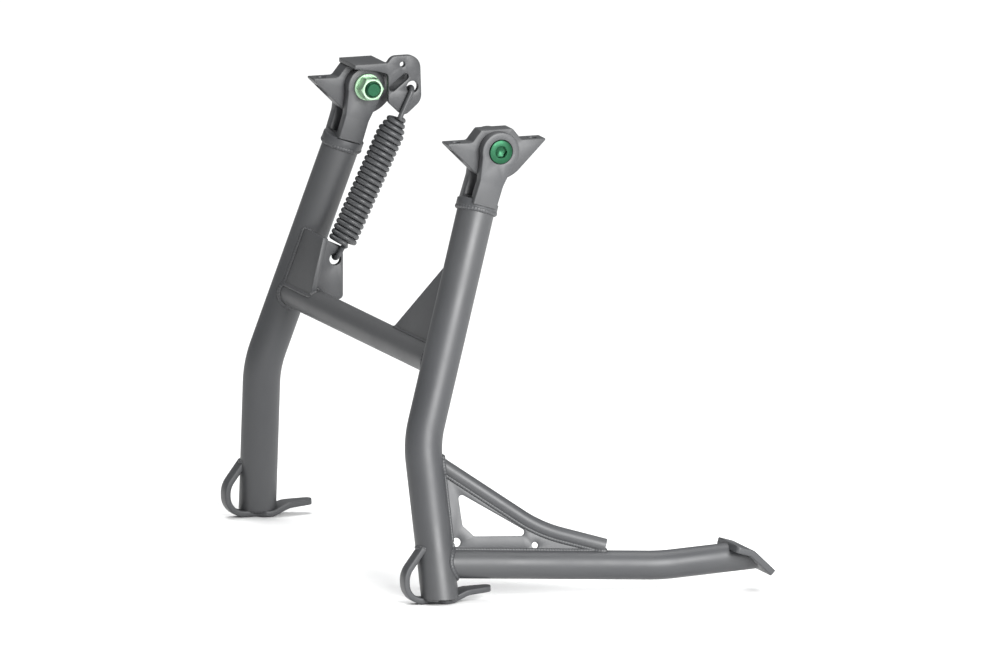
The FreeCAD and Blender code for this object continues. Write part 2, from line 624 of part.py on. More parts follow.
right_outline = [
    ("-panel_toe", "-cross_drop"),
    ("-panel_head", "-panel_top"),
    (f"-leg_half - panel_top * {PLATE_SLOPE}", "-panel_top"),
    (f"-leg_half - cross_drop * {PLATE_SLOPE}", "-cross_drop"),
]
right_blank = pad_body("gusset_right_plate", "YZ_Plane", right_outline, "plate_thick",
                       *plane_frame(), moved("panel_ahead", 0, 0))
finish("gusset_right", cut("gusset_right_cut", right_blank, cross_bar, leg_bars["right"]))

# Spring: local frame at its upper eye, local -Z towards its lower eye
SPRING = [PIVOT, moved("-eye_back", "-spring_plane", "eye_up"), turned("y", "-spring_slope")]
LOWER_X = "(-eye_back + spring_length * sin(spring_slope))"
LOWER_Z = "(eye_up - spring_length * cos(spring_slope))"

# Plate that takes the lower hook, in the spring's plane, behind the right gusset
FORWARD = f"tan({PROJECTED_LEAN})"
PANEL_X = f"panel_ahead / cos({PROJECTED_LEAN})"
bracket_outline = [
    (f"{LOWER_X} - 5.5", f"{LOWER_Z} + 8", 3),
    (f"(14 - {LOWER_Z}) * {FORWARD} - 6", f"{LOWER_Z} + 14", 3),
    (f"-({LOWER_Z} + 8) * {FORWARD} + {PANEL_X}", f"{LOWER_Z} + 8"),
    (f"cross_drop * sin({PROJECTED_LEAN}) + {PANEL_X}", f"-cross_drop * cos({PROJECTED_LEAN})"),
    (f"{LOWER_X} - 5.5", f"-cross_drop * cos({PROJECTED_LEAN})", 3),
]
bracket_blank = pad_body("spring_bracket_plate", "XZ_Plane", bracket_outline, "plate_thick",
                         PIVOT, moved(0, "-spring_plane", 0))
bracket_hole = cylinder("spring_bracket_hole", "eye_hole / 2", "4 * plate_thick",
                        *SPRING, moved(0, "2 * plate_thick", "-spring_length"), STAND_UPRIGHT)
finish("spring_bracket", cut("spring_bracket_cut", bracket_blank, bracket_hole, cross_bar, right_blank))

# Spring anchor: a flange on the right bracket's hump and an arm down to the upper eye
arm_outline = [
    ("hump_half", "hump_top"),
    ("hump_half", "hump_top + flange_thick"),
    ("-eye_back / 3", "hump_top + 1", 4),
    ("-eye_back / 2", "hump_top + arm_crest", 6),
    ("-eye_back - arm_behind + 1", "hump_top + arm_crest", 9),
    ("-eye_back - arm_behind", "-arm_side", 9),
    ("-eye_back + tip_ahead", "-arm_tip", 5),
    ("-eye_back + arm_ahead", "-arm_side", 5),
    ("-eye_back + arm_ahead", "arm_side", 3),
    ("-3", "hump_top - 2", 3),
]
arm = pad_body("anchor_arm", "XZ_Plane", arm_outline, "anchor_thick", PIVOT, moved(0, "-spring_plane", 0))
flange = box("anchor_flange", "flange_front + hump_half",
             "fork_middle + bracket_width / 2 - spring_plane + anchor_thick / 2", "flange_thick",
             PIVOT, moved("-hump_half", "-fork_middle - bracket_width / 2", "hump_top"))
through = [PIVOT, moved(0, "-spring_plane + 2 * anchor_thick", 0), STAND_UPRIGHT]
anchor_eye = cylinder("anchor_eye", "eye_hole / 2", "4 * anchor_thick", *through, moved("-eye_back", "eye_up", 0))
spare_eye = cylinder("anchor_spare", "spare_hole / 2", "4 * anchor_thick",
                     *through, moved("-eye_back + spare_ahead", "hump_top + spare_rise", 0))
window = box("anchor_window", "slot_length", "slot_width", "4 * anchor_thick",
             *through, moved("-eye_back + slot_ahead", 0, 0), turned("z", "slot_slant"), moved(0, "-slot_width / 2", 0))
window_ends = [cylinder(f"anchor_window_{end}", "slot_width / 2", "4 * anchor_thick",
                        *through, moved("-eye_back + slot_ahead", 0, 0), turned("z", "slot_slant"), moved(at, 0, 0))
               for end, at in (("front", 0), ("rear", "slot_length"))]
finish("spring_anchor", cut("anchor_cut", fuse("anchor_blank", arm, flange), anchor_eye, spare_eye,
                            window, *window_ends))

# Coil spring: tapered top, full turns and a wire hook at each end
hook_side = "(anchor_thick / 2 + hook_gap + wire_dia / 2)"
coil_bottom = "(coil_top + coil_count * coil_pitch)"
spring = new_body("spring_body")
core = new_sketch(spring, "XZ_Plane", "spring_core")
draw_line_chain(core, [
    (0, "-taper_top"),
    ("wire_dia / 2 + 0.8", "-taper_top"),
    ("coil_dia / 2 - wire_dia * 0.55", "-coil_top"),
    ("coil_dia / 2 - wire_dia * 0.55", f"-{coil_bottom}"),
    (0, f"-{coil_bottom}"),
], closed=True)
core_turn = spring.newObject("PartDesign::Revolution", "spring_core_turn")
core_turn.Profile = core
core_turn.ReferenceAxis = (core, ["V_Axis"])
core_turn.Angle = 360
turn_outline = new_sketch(spring, "XZ_Plane", "spring_turn")
draw_line_chain(turn_outline, [
    ("coil_dia / 2 - wire_dia * 0.6", "-coil_top"),
    ("coil_dia / 2 - wire_dia * 0.4", "-coil_top"),
    ("coil_dia / 2", "-coil_top - coil_pitch / 2"),
    ("coil_dia / 2 - wire_dia * 0.4", "-coil_top - coil_pitch"),
    ("coil_dia / 2 - wire_dia * 0.6", "-coil_top - coil_pitch"),
], closed=True)
ridge = spring.newObject("PartDesign::Revolution", "spring_ridge")
ridge.Profile = turn_outline
ridge.ReferenceAxis = (turn_outline, ["V_Axis"])
ridge.Angle = 360
doc.recompute()
rows_of_turns = spring.newObject("PartDesign::LinearPattern", "spring_turns")
rows_of_turns.Originals = [ridge]
rows_of_turns.Direction = (turn_outline, ["V_Axis"])
rows_of_turns.Reversed = True
rows_of_turns.setExpression("Length", bound("(coil_count - 1) * coil_pitch"))
rows_of_turns.setExpression("Occurrences", bound("coil_count"))
spring.Tip = rows_of_turns
place(spring, *SPRING)
upper_hook = pipe_body(
    "spring_upper_hook", "YZ_Plane",
    [(f"-{hook_side}", "-12"), (f"-{hook_side}", "-0.8", f"{hook_side} - 0.1"),
     (hook_side, "-0.8", f"{hook_side} - 0.1"), (hook_side, "-taper_top - 3", 4),
     (0, "-taper_top - 9", 4), (0, "-taper_top - 12")],
    "XY_Plane", (0, f"-{hook_side}"), "wire_dia / 2", "-12", *SPRING)
lower_hook = pipe_body(
    "spring_lower_hook", "YZ_Plane",
    [(f"-{hook_side}", "-spring_length + 7.5"), (f"-{hook_side}", "-spring_length + 0.8", f"{hook_side} - 0.1"),
     (hook_side, "-spring_length + 0.8", f"{hook_side} - 0.1"), (hook_side, f"-{coil_bottom} + 2")],
    "XY_Plane", (0, f"-{hook_side}"), "wire_dia / 2", "-spring_length + 7.5", *SPRING)
finish("return_spring", fuse("spring_joined", spring, upper_hook, lower_hook))

# Foot lever, braced to the left leg
lever_spine = [
    (0, 0),
    ("lever_first", 0, "lever_round"),
    ("lever_first + lever_second * cos(lever_bend)", "lever_second * sin(lever_bend)"),
]
lever_bar = pipe_body("lever_bar", "XY_Plane", lever_spine, "YZ_Plane", (0, 0), "lever_dia / 2", None, *lever_frame())
lever_bore = pipe_body("lever_bore", "XY_Plane", lever_spine, "YZ_Plane", (0, 0), "lever_dia / 2 - lever_wall", None,
                       *lever_frame())

# Tread: a plate bent over the lever's end, which it closes
TREAD = [moved("-tread_back", "tread_side", "-ear_top - pivot_height + tread_height"), turned("y", "180 - tread_slope")]
half_tread = "tread_thick / 2"
tread_path = [
    ("tread_length", half_tread),
    (f"-{half_tread} / tan((180 - tread_slope) / 2)", half_tread, 4),
    (f"-tread_lip * cos(tread_slope) - {half_tread} * sin(tread_slope)",
     f"tread_lip * sin(tread_slope) + {half_tread} * cos(tread_slope)"),
]
tread = bent_strap("tread_strap", tread_path, "tread_thick", "tread_width", *TREAD, STAND_UPRIGHT)
finish("lever_tread", tread)
beyond_tread = box("beyond_tread", 120, 120, 120, *TREAD, moved("-60 - tread_thick", -60, f"{half_tread} - 120"))
weld_relief = cylinder("weld_relief", 1.0, "tread_width", *TREAD, moved(0.2, "-tread_width / 2", half_tread),
                       turned("x", -90))
lever_solid = cut("lever_solid", lever_bar, beyond_tread, weld_relief)
finish("lever_tube", cut("lever_cut", lever_solid, lever_bore, leg_bars["left"], tread))

# Brace: a rod from the leg down to the lever and a windowed plate in the corner under it
rod_spine = [
    (0, 0),
    ("rod_first", 0, "rod_round"),
    ("rod_first + rod_second * cos(rod_bend)", "rod_second * sin(rod_bend)"),
]
rod_bar = pipe_body("rod_bar", "XZ_Plane", rod_spine, "YZ_Plane", (0, 0), "rod_dia / 2", None,
                    *brace_frame(), moved(0, 0, "rod_rise"), turned("y", "rod_fall"))
finish("brace_rod", cut("rod_cut", rod_bar, leg_bars["left"], lever_bar))

ROD_KNEE = ("rod_first * cos(rod_fall)", "rod_rise - rod_first * sin(rod_fall)")
ROD_TIP = (f"{ROD_KNEE[0]} + rod_second * cos(rod_fall - rod_bend)",
           f"{ROD_KNEE[1]} - rod_second * sin(rod_fall - rod_bend)")
brace_blank = pad_body("brace_blank", "XZ_Plane", [(0, 0), (0, "rod_rise"), ROD_KNEE, ROD_TIP,
                                        (f"{ROD_TIP[0]} - rod_dia", 0)],
                       "brace_thick", *brace_frame())
brace_window = pad_body("brace_window", "XZ_Plane", [
    ("window_near", "window_high", "window_round"),
    ("window_step", "window_knee", "window_round"),
    ("window_toe", "window_sill", "window_round"),
    ("window_far", "window_tip", "window_round"),
], "3 * brace_thick", *brace_frame())
drain = cylinder("brace_drain", "drain_size / 2", "3 * brace_thick",
                 *brace_frame(), STAND_UPRIGHT, moved("drain_near", "drain_high", "-1.5 * brace_thick"))
small_drain = cylinder("brace_small_drain", "vent_size / 2", "3 * brace_thick",
                       *brace_frame(), STAND_UPRIGHT, moved("vent_far", "vent_high", "-1.5 * brace_thick"))
finish("brace_plate", cut("brace_cut", brace_blank, brace_window, drain, small_drain,
                          rod_bar, lever_bar, leg_bars["left"]))

doc.recompute()
faults = [f"{thing.Label} {thing.State}" for thing in doc.Objects
          if "Invalid" in thing.State or "Error" in thing.State]
faults += [f"{node} has no valid shape" for node, thing in nodes.items()
           if thing.Shape.isNull() or not thing.Shape.isValid()]
if faults:
    raise RuntimeError("; ".join(faults))

os.makedirs("parts", exist_ok=True)
for node, thing in nodes.items():
    thing.Shape.exportStep(f"parts/{node}.step")
    print(node, len(thing.Shape.Solids), round(thing.Shape.Volume))
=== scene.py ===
"""Motorcycle centre stand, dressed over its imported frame.

The frame's axes hold everywhere: X forward, Y to the stand's left, Z up. Blender works in
metres; the sizes held by the classes below are millimetres and degrees, as a drawing gives them.
"""
import logging
import math
from collections.abc import Callable, Sequence
from dataclasses import dataclass
from enum import Enum
from typing import Any

import bmesh
import bpy
from bmesh.types import BMEdge, BMesh, BMVert
from bpy.types import ID, Material, Node, NodeSocket, NodeTree, Object
from mathutils import Matrix, Vector, noise
from mathutils.bvhtree import BVHTree


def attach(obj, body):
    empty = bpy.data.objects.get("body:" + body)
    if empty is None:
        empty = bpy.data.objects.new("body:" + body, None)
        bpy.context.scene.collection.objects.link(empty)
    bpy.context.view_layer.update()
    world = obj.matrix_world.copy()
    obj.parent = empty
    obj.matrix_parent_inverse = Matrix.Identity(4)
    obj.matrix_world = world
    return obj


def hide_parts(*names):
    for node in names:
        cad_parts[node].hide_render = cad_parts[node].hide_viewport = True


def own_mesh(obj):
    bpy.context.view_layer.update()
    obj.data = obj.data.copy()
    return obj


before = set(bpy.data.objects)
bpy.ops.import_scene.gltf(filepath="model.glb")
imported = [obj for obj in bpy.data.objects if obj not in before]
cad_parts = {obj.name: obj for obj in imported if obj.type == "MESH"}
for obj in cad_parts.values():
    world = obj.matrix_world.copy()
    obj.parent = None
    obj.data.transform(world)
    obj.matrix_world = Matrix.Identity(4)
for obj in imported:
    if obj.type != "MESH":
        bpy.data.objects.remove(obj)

LOG = logging.getLogger("centre_stand")
MM = 0.001
PER_METRE = 1000.0

STRAIGHT = 1e-4  # Radians by which a corner may bend and still count as straight
LEAST_CHORDS = 3  # Chords on the shortest arc
ROUND_SIDES = 72  # Points round a turned form
CORNER_POINTS = 4  # Points on each rounded corner of a strap
CORNER_STEP = 30  # Degrees between them
SEAM_WIDTH = 0.002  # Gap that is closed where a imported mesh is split
FLAT_ANGLE = 0.6  # Faces within this angle of each other are one face
SHARP_ANGLE = 32.0  # Edges above this angle are rounded
SEAM_ANGLE = 25.0  # Edges above this angle can carry a weld


class Side(Enum):
    """Side of the stand; the value is the sign of Y."""

    LEFT = 1
    RIGHT = -1

    @property
    def word(self) -> str:
        """The side's name as the nodes spell it."""
        return self.name.lower()


class Body(str, Enum):
    """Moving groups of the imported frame."""

    FRAME_SIDE = "frame_side"
    STAND = "stand"
    SPRING = "spring"


# Placement and paths, in millimetres


def turn(degrees: float, axis: str) -> Matrix:
    """Rotation about X, Y or Z by the right-hand rule."""
    return Matrix.Rotation(math.radians(degrees), 4, axis)


def shift(x: float = 0.0, y: float = 0.0, z: float = 0.0) -> Matrix:
    """Translation."""
    return Matrix.Translation((x, y, z))


def full_turn(steps: int) -> list[float]:
    """Evenly spaced angles of one turn."""
    return [math.tau * at / steps for at in range(steps)]


def polar(radius: float, angle: float, height: float) -> Vector:
    """Point at a radius and an angle about Z."""
    return Vector((radius * math.cos(angle), radius * math.sin(angle), height))


def rounded_path(corners: Sequence[tuple[Sequence[float], float]], step: float = 1.5) -> list[Vector]:
    """Straight runs joined by tangent arcs.

    Args:
        corners: Each corner's point and its bend radius; a radius of 0 keeps it sharp.
        step: Longest chord on an arc.

    Returns:
        Points along the path.
    """
    points = [Vector(place) for place, _ in corners]
    path = [points[0]]
    for index in range(1, len(points) - 1):
        corner, radius = points[index], corners[index][1]
        back = (points[index - 1] - corner).normalized()
        ahead = (points[index + 1] - corner).normalized()
        half = back.angle(ahead) / 2
        if radius <= 0 or half > math.pi / 2 - STRAIGHT:
            path.append(corner)
            continue
        reach = radius / math.tan(half)
        middle = corner + (back + ahead).normalized() * (radius / math.sin(half))
        start, end = corner + back * reach - middle, corner + ahead * reach - middle
        chords = max(LEAST_CHORDS, math.ceil(start.angle(end) * radius / step))
        path += [middle + start.slerp(end, at / chords).normalized() * radius for at in range(chords + 1)]
    path.append(points[-1])
    return path


def moved_path(path: Sequence[Vector], placement: Matrix) -> list[Vector]:
    """The path carried into another frame."""
    return [placement @ point for point in path]


def path_length(path: Sequence[Vector]) -> float:
    """Length along the points."""
    return sum((after - before).length for before, after in zip(path, path[1:]))


def tangent_at(path: Sequence[Vector], index: int) -> Vector:
    """Direction of the path at one of its points, from the neighbours on both sides."""
    before, after = path[max(index - 1, 0)], path[min(index + 1, len(path) - 1)]
    return (after - before).normalized()


def evened(path: Sequence[Vector], step: float) -> list[Vector]:
    """The same line with points at equal spacing.

    Args:
        path: Points of the line.
        step: Spacing to come near to.

    Returns:
        New points, the first one kept.
    """
    length = path_length(path)
    count = max(2, round(length / step))
    spacing = length / count
    slack = 1e-9
    mark, walked, result = 0.0, 0.0, [path[0]]
    for before, after in zip(path, path[1:]):
        run = (after - before).length
        while run > 0 and walked + run >= mark + spacing - slack:
            mark += spacing
            result.append(before.lerp(after, min(1.0, (mark - walked) / run)))
        walked += run
    return result


def beside(path: Sequence[Vector], distance: float) -> list[Vector]:
    """The line moved sideways in the XZ plane.

    Args:
        path: Points of the line.
        distance: How far it moves to the right of its direction.

    Returns:
        As many new points.
    """
    moved = []
    for index, point in enumerate(path):
        tangent = tangent_at(path, index)
        moved.append(point + Vector((tangent.z, 0, -tangent.x)) * distance)
    return moved


# Mesh forms


def rings_to_mesh(rings: Sequence[Sequence[Vector]], closed: bool = False) -> BMesh:
    """Skin a row of rings that all have the same number of points.

    Args:
        rings: Rings of points, in order.
        closed: Join the last ring to the first, instead of capping both ends.

    Returns:
        A new mesh in the same units.
    """
    mesh = bmesh.new()
    made = [[mesh.verts.new(point) for point in ring] for ring in rings]
    count = len(made[0])
    joins = list(zip(made, made[1:])) + ([(made[-1], made[0])] if closed else [])
    for lower, upper in joins:
        for at in range(count):
            after = (at + 1) % count
            mesh.faces.new((lower[at], lower[after], upper[after], upper[at]))
    if not closed:
        mesh.faces.new(list(reversed(made[0])))
        mesh.faces.new(made[-1])
    return mesh


def sweep(path: Sequence[Vector], radius: float | Callable[[int], float], sides: int) -> BMesh:
    """A round bar along a path, with no twist.

    Args:
        path: Points of the centre line.
        radius: Radius, or a function from a point's index to its radius.
        sides: Points round the bar.

    Returns:
        A new mesh in the path's units.
    """
    tangents = [tangent_at(path, index) for index in range(len(path))]
    across = tangents[0].orthogonal().normalized()
    rings = []
    for index, (point, tangent) in enumerate(zip(path, tangents)):
        across = (across - tangent * across.dot(tangent)).normalized()
        other = tangent.cross(across)
        size = radius(index) if callable(radius) else radius
        rings.append([point + (across * math.cos(angle) + other * math.sin(angle)) * size
                      for angle in full_turn(sides)])
    return rings_to_mesh(rings)


def ring(radius: float, height: float) -> list[Vector]:
    """A level circle about Z."""
    return [polar(radius, angle, height) for angle in full_turn(ROUND_SIDES)]


def hexagon_ring(flats: float, height: float, chamfer_from: float = 0.0, slope: float = 0.0) -> list[Vector]:
    """A level hexagon about Z, its corners lowered where a cone trims them.

    Args:
        flats: Width across the flats.
        height: Height of the flats' middle.
        chamfer_from: Radius at which the cone starts.
        slope: Height lost per unit of radius beyond it; negative raises the corners.

    Returns:
        Points of the ring.
    """
    points = []
    for angle in full_turn(ROUND_SIDES):
        reach = flats / 2 / math.cos((angle % (math.pi / 3)) - math.pi / 6)
        drop = max(0.0, reach - chamfer_from) * slope
        points.append(polar(reach, angle, height - drop))
    return points


def strap(path: Sequence[Vector], thick: float, half_width: Callable[[float, float], float],
          rounding: float = 0.9) -> BMesh:
    """A flat strap bent along a line in the XZ plane, its long edges rounded.

    Args:
        path: Points of the middle of its thickness, about Y = 0.
        thick: Thickness.
        half_width: Half of the width from the distance walked and the distance left.
        rounding: Radius of the long edges.

    Returns:
        A new mesh in the path's units.
    """
    walked = [0.0]
    for before, after in zip(path, path[1:]):
        walked.append(walked[-1] + (after - before).length)
    corners = ((1, 1, 0), (-1, 1, 90), (-1, -1, 180), (1, -1, 270))
    bends = [(side, level, math.radians(start + at * CORNER_STEP))
             for side, level, start in corners for at in range(CORNER_POINTS)]
    rings = []
    for index, point in enumerate(path):
        tangent = tangent_at(path, index)
        up = Vector((-tangent.z, 0, tangent.x))
        half = half_width(walked[index], walked[-1] - walked[index])
        rings.append([
            point + Vector((0, side * (half - rounding) + rounding * math.cos(angle), 0))
            + up * (level * (thick / 2 - rounding) + rounding * math.sin(angle))
            for side, level, angle in bends
        ])
    return rings_to_mesh(rings)


def node_mesh(node: str) -> BMesh:
    """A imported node's mesh, joined at its seams.

    Args:
        node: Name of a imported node.

    Returns:
        A new mesh in millimetres.
    """
    mesh = bmesh.new()
    mesh.from_mesh(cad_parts[node].data)
    bmesh.ops.scale(mesh, vec=(PER_METRE,) * 3, verts=mesh.verts)
    bmesh.ops.remove_doubles(mesh, verts=mesh.verts, dist=SEAM_WIDTH)
    return mesh


def softened(node: str, rounding: float) -> BMesh:
    """The node's own form with its sharp edges rounded, as blasting and coating leave them.

    Args:
        node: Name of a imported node.
        rounding: Width taken off each edge, in millimetres.

    Returns:
        A new mesh in millimetres.
    """
    mesh = node_mesh(node)
    bmesh.ops.dissolve_limit(mesh, angle_limit=math.radians(FLAT_ANGLE), verts=mesh.verts, edges=mesh.edges)
    # A face with a notch is split first, or its rounded outline could be filled across the notch
    bmesh.ops.connect_verts_concave(mesh, faces=mesh.faces)
    limit = math.radians(SHARP_ANGLE)
    sharp = [edge for edge in mesh.edges if edge.is_manifold and edge.calc_face_angle(0.0) > limit]
    bmesh.ops.bevel(mesh, geom=sharp, offset=rounding, offset_type="OFFSET", segments=2, profile=0.5,
                    affect="EDGES", clamp_overlap=False)
    return mesh


def trimmed(mesh: BMesh, point: Vector, normal: Vector) -> BMesh:
    """Cut off what lies beyond a plane, and close the cut.

    Args:
        mesh: The mesh, which is changed.
        point: A point of the plane.
        normal: Direction from the plane to what is cut off.

    Returns:
        The same mesh.
    """
    cut = bmesh.ops.bisect_plane(mesh, geom=mesh.verts[:] + mesh.edges[:] + mesh.faces[:], plane_co=point,
                                 plane_no=normal, clear_outer=True)
    rim = [item for item in cut["geom_cut"] if isinstance(item, BMEdge)]
    bmesh.ops.contextual_create(mesh, geom=rim)
    return mesh


def placed(mesh: BMesh, placement: Matrix) -> BMesh:
    """The mesh carried to its place."""
    bmesh.ops.transform(mesh, matrix=placement, verts=mesh.verts)
    return mesh


# Finishes

NOISE_SPAN = {"From Min": 0.3, "From Max": 0.7}  # Where most values of a noise lie


def linear(colour: str) -> tuple[float, float, float, float]:
    """Turn an sRGB hex colour into linear light.

    Args:
        colour: A hash sign and six digits.

    Returns:
        Red, green and blue, with full alpha.
    """
    def channel(value: float) -> float:
        """One channel by the sRGB curve."""
        return value / 12.92 if value <= 0.04045 else ((value + 0.055) / 1.055) ** 2.4

    red, green, blue = (channel(int(colour[at:at + 2], 16) / 255) for at in (1, 3, 5))
    return red, green, blue, 1.0


def add_node(tree: NodeTree, kind: str, settings: dict[str | int, Any] | None = None,
             links: dict[str | int, NodeSocket] | None = None) -> Node:
    """Add one node with its settings and its incoming links.

    Args:
        tree: Tree that gets the node.
        kind: Blender's name for the node's type.
        settings: Socket name or number, or attribute name, to its value.
        links: Socket name or number to the output that feeds it.

    Returns:
        The new node.
    """
    node = tree.nodes.new(kind)
    for name, value in (settings or {}).items():
        if isinstance(name, int) or name in node.inputs:
            node.inputs[name].default_value = value
        else:
            setattr(node, name, value)
    for name, source in (links or {}).items():
        tree.links.new(source, node.inputs[name])
    return node


@dataclass(frozen=True)
class Finish:
    """What every finish shares: a name, a record slot, a colour and how rough it is."""

    name: str
    slot: str
    colour: str
    roughness: float
    metallic: float = 0.0
    smoother: float = 0.05
    rougher: float = 0.08

    @property
    def gloss_range(self) -> dict[str, float]:
        """Settings that turn a noise into the finish's range of roughness."""
        return {**NOISE_SPAN, "To Min": self.roughness - self.smoother,
                "To Max": self.roughness + self.rougher}

    def dress(self, tree: NodeTree, place: NodeSocket) -> dict[str, NodeSocket]:
        """Surface detail for the shader's inputs; each finish has its own."""
        return {}

    def material(self) -> Material:
        """The finish as a Blender material, made once.

        Returns:
            The new material, or the one made before.
        """
        found = bpy.data.materials.get(self.name)
        if found:
            return found
        made = bpy.data.materials.new(self.name)
        made.use_nodes = True
        made.diffuse_color = linear(self.colour)
        tree = made.node_tree
        shader = tree.nodes["Principled BSDF"]
        shader.inputs["Base Color"].default_value = linear(self.colour)
        shader.inputs["Roughness"].default_value = self.roughness
        shader.inputs["Metallic"].default_value = self.metallic
        place = add_node(tree, "ShaderNodeTexCoord").outputs["Object"]
        for name, source in self.dress(tree, place).items():
            tree.links.new(source, shader.inputs[name])
        return made


@dataclass(frozen=True)
class PowderCoat(Finish):
    """Polyester powder, sprayed on blasted steel and baked: a satin skin with a fine orange peel."""

    peel: float = 1.4
    peel_strength: float = 0.22
    peel_depth: float = 0.1
    cloud: float = 45.0
    tone: float = 0.12
    worn: str = "#626261"
    worn_from: float = 0.53
    worn_to: float = 0.66
    worn_most: float = 0.45
    smoother: float = 0.06
    rougher: float = 0.07

    def dress(self, tree: NodeTree, place: NodeSocket) -> dict[str, NodeSocket]:
        """Orange peel, slow changes of tone, and a thinner coat along the edges.

        Args:
            tree: Node tree of the material.
            place: Object coordinates, in metres.

        Returns:
            The shader's inputs, each with what feeds it.
        """
        # Peel waves of about 1.4 mm are what a baked powder film shows under a soft light
        peel = add_node(tree, "ShaderNodeTexNoise", {"Scale": PER_METRE / self.peel, "Detail": 2.0},
                        {"Vector": place})
        bump = add_node(tree, "ShaderNodeBump",
                        {"Strength": self.peel_strength, "Distance": self.peel_depth * MM},
                        {"Height": peel.outputs["Fac"]})
        # The film's thickness drifts over a few centimetres, and its tone and gloss with it
        cloud = add_node(tree, "ShaderNodeTexNoise",
                         {"Scale": PER_METRE / self.cloud, "Detail": 4.0, "Roughness": 0.6},
                         {"Vector": place})
        base = linear(self.colour)[:3]
        tone = add_node(tree, "ShaderNodeMix", {
            "data_type": "RGBA",
            6: tuple(part * (1 - self.tone) for part in base) + (1.0,),
            7: tuple(part * (1 + self.tone) for part in base) + (1.0,),
        }, {0: cloud.outputs["Fac"]})
        # Powder draws back from an edge as it melts, so edges are paler
        ridge = add_node(tree, "ShaderNodeMapRange",
                         {"From Min": self.worn_from, "From Max": self.worn_to, "To Min": 0.0,
                          "To Max": self.worn_most},
                         {"Value": add_node(tree, "ShaderNodeNewGeometry").outputs["Pointiness"]})
        worn = add_node(tree, "ShaderNodeMix", {"data_type": "RGBA", 7: linear(self.worn)},
                        {0: ridge.outputs["Result"], 6: tone.outputs[2]})
        gloss = add_node(tree, "ShaderNodeMapRange", self.gloss_range, {"Value": cloud.outputs["Fac"]})
        return {"Base Color": worn.outputs[2], "Roughness": gloss.outputs["Result"],
                "Normal": bump.outputs["Normal"]}


@dataclass(frozen=True)
class ChromatePlate(Finish):
    """Zinc plate sealed in a chromate bath: a thin coloured film with a faint uneven bloom."""

    second: str = "#5C8A63"
    bloom: float = 3.0
    grain: float = 0.5
    grain_strength: float = 0.15
    grain_depth: float = 0.05

    def dress(self, tree: NodeTree, place: NodeSocket) -> dict[str, NodeSocket]:
        """Bloom of the film, and the fine lay left by forging and turning.

        Args:
            tree: Node tree of the material.
            place: Object coordinates, in metres.

        Returns:
            The shader's inputs, each with what feeds it.
        """
        bloom = add_node(tree, "ShaderNodeTexNoise", {"Scale": PER_METRE / self.bloom, "Detail": 5.0},
                         {"Vector": place})
        tone = add_node(tree, "ShaderNodeMix",
                        {"data_type": "RGBA", 6: linear(self.colour), 7: linear(self.second)},
                        {0: bloom.outputs["Fac"]})
        # Forging scale of about 0.3 mm is drawn at 0.5 mm, the finest that a render shows
        grain = add_node(tree, "ShaderNodeTexNoise", {"Scale": PER_METRE / self.grain, "Detail": 1.0},
                         {"Vector": place})
        bump = add_node(tree, "ShaderNodeBump",
                        {"Strength": self.grain_strength, "Distance": self.grain_depth * MM},
                        {"Height": grain.outputs["Fac"]})
        gloss = add_node(tree, "ShaderNodeMapRange", self.gloss_range, {"Value": bloom.outputs["Fac"]})
        return {"Base Color": tone.outputs[2], "Roughness": gloss.outputs["Result"],
                "Normal": bump.outputs["Normal"]}


@dataclass(frozen=True)
class TurnedMetal(Finish):
    """Bare metal turned on a lathe: fine rings round the axis that catch the light."""

    lay: float = 0.8
    bands_per_unit: float = 3.14
    lay_strength: float = 0.1
    lay_depth: float = 0.03
    spot: float = 1.2
    rougher: float = 0.12

    def dress(self, tree: NodeTree, place: NodeSocket) -> dict[str, NodeSocket]:
        """Turning marks across the pivot's axis.

        Args:
            tree: Node tree of the material.
            place: Object coordinates, in metres.

        Returns:
            The shader's inputs, each with what feeds it.
        """
        # Feed marks of about 0.1 mm are drawn 0.8 mm apart, so that they show. The wave texture
        # draws about three bands in each of its units
        marks = add_node(tree, "ShaderNodeTexWave",
                         {"wave_type": "BANDS", "bands_direction": "Y",
                          "Scale": PER_METRE / self.lay / self.bands_per_unit, "Distortion": 0.4},
                         {"Vector": place})
        bump = add_node(tree, "ShaderNodeBump",
                        {"Strength": self.lay_strength, "Distance": self.lay_depth * MM},
                        {"Height": marks.outputs["Fac"]})
        spots = add_node(tree, "ShaderNodeTexNoise", {"Scale": PER_METRE / self.spot, "Detail": 3.0},
                         {"Vector": place})
        gloss = add_node(tree, "ShaderNodeMapRange", self.gloss_range, {"Value": spots.outputs["Fac"]})
        return {"Roughness": gloss.outputs["Result"], "Normal": bump.outputs["Normal"]}


@dataclass(frozen=True)
class StudioPaper(Finish):
    """Matt white studio paper, with its faint fibre tone."""

    darker: str = "#F4F4F3"
    paler: str = "#FAFAFA"
    clouds_per_metre: float = 60.0

    def dress(self, tree: NodeTree, place: NodeSocket) -> dict[str, NodeSocket]:
        """Fibre tone of the paper.

        Args:
            tree: Node tree of the material.
            place: Object coordinates, in metres.

        Returns:
            The shader's inputs, each with what feeds it.
        """
        # Fibres themselves are too fine to show, so only their clouds of about 17 mm are drawn
        fibre = add_node(tree, "ShaderNodeTexNoise", {"Scale": self.clouds_per_metre, "Detail": 6.0},
                         {"Vector": place})
        tone = add_node(tree, "ShaderNodeMix",
                        {"data_type": "RGBA", 6: linear(self.darker), 7: linear(self.paler)},
                        {0: fibre.outputs["Fac"]})
        return {"Base Color": tone.outputs[2]}


# Dark grey powder on the stand and, a shade darker, on the brackets: satin, with pale worn edges
FRAME_COAT = PowderCoat("powder_coat_dark_grey", "frame_coat", "#38393B", 0.46)
BRACKET_COAT = PowderCoat("powder_coat_bracket", "bracket_coat", "#343537", 0.48)
# The spring's wire is coated thinner, so its peel is finer
SPRING_COAT = PowderCoat("coated_spring_wire", "spring_steel", "#37383A", 0.44, peel=0.9, cloud=14.0)
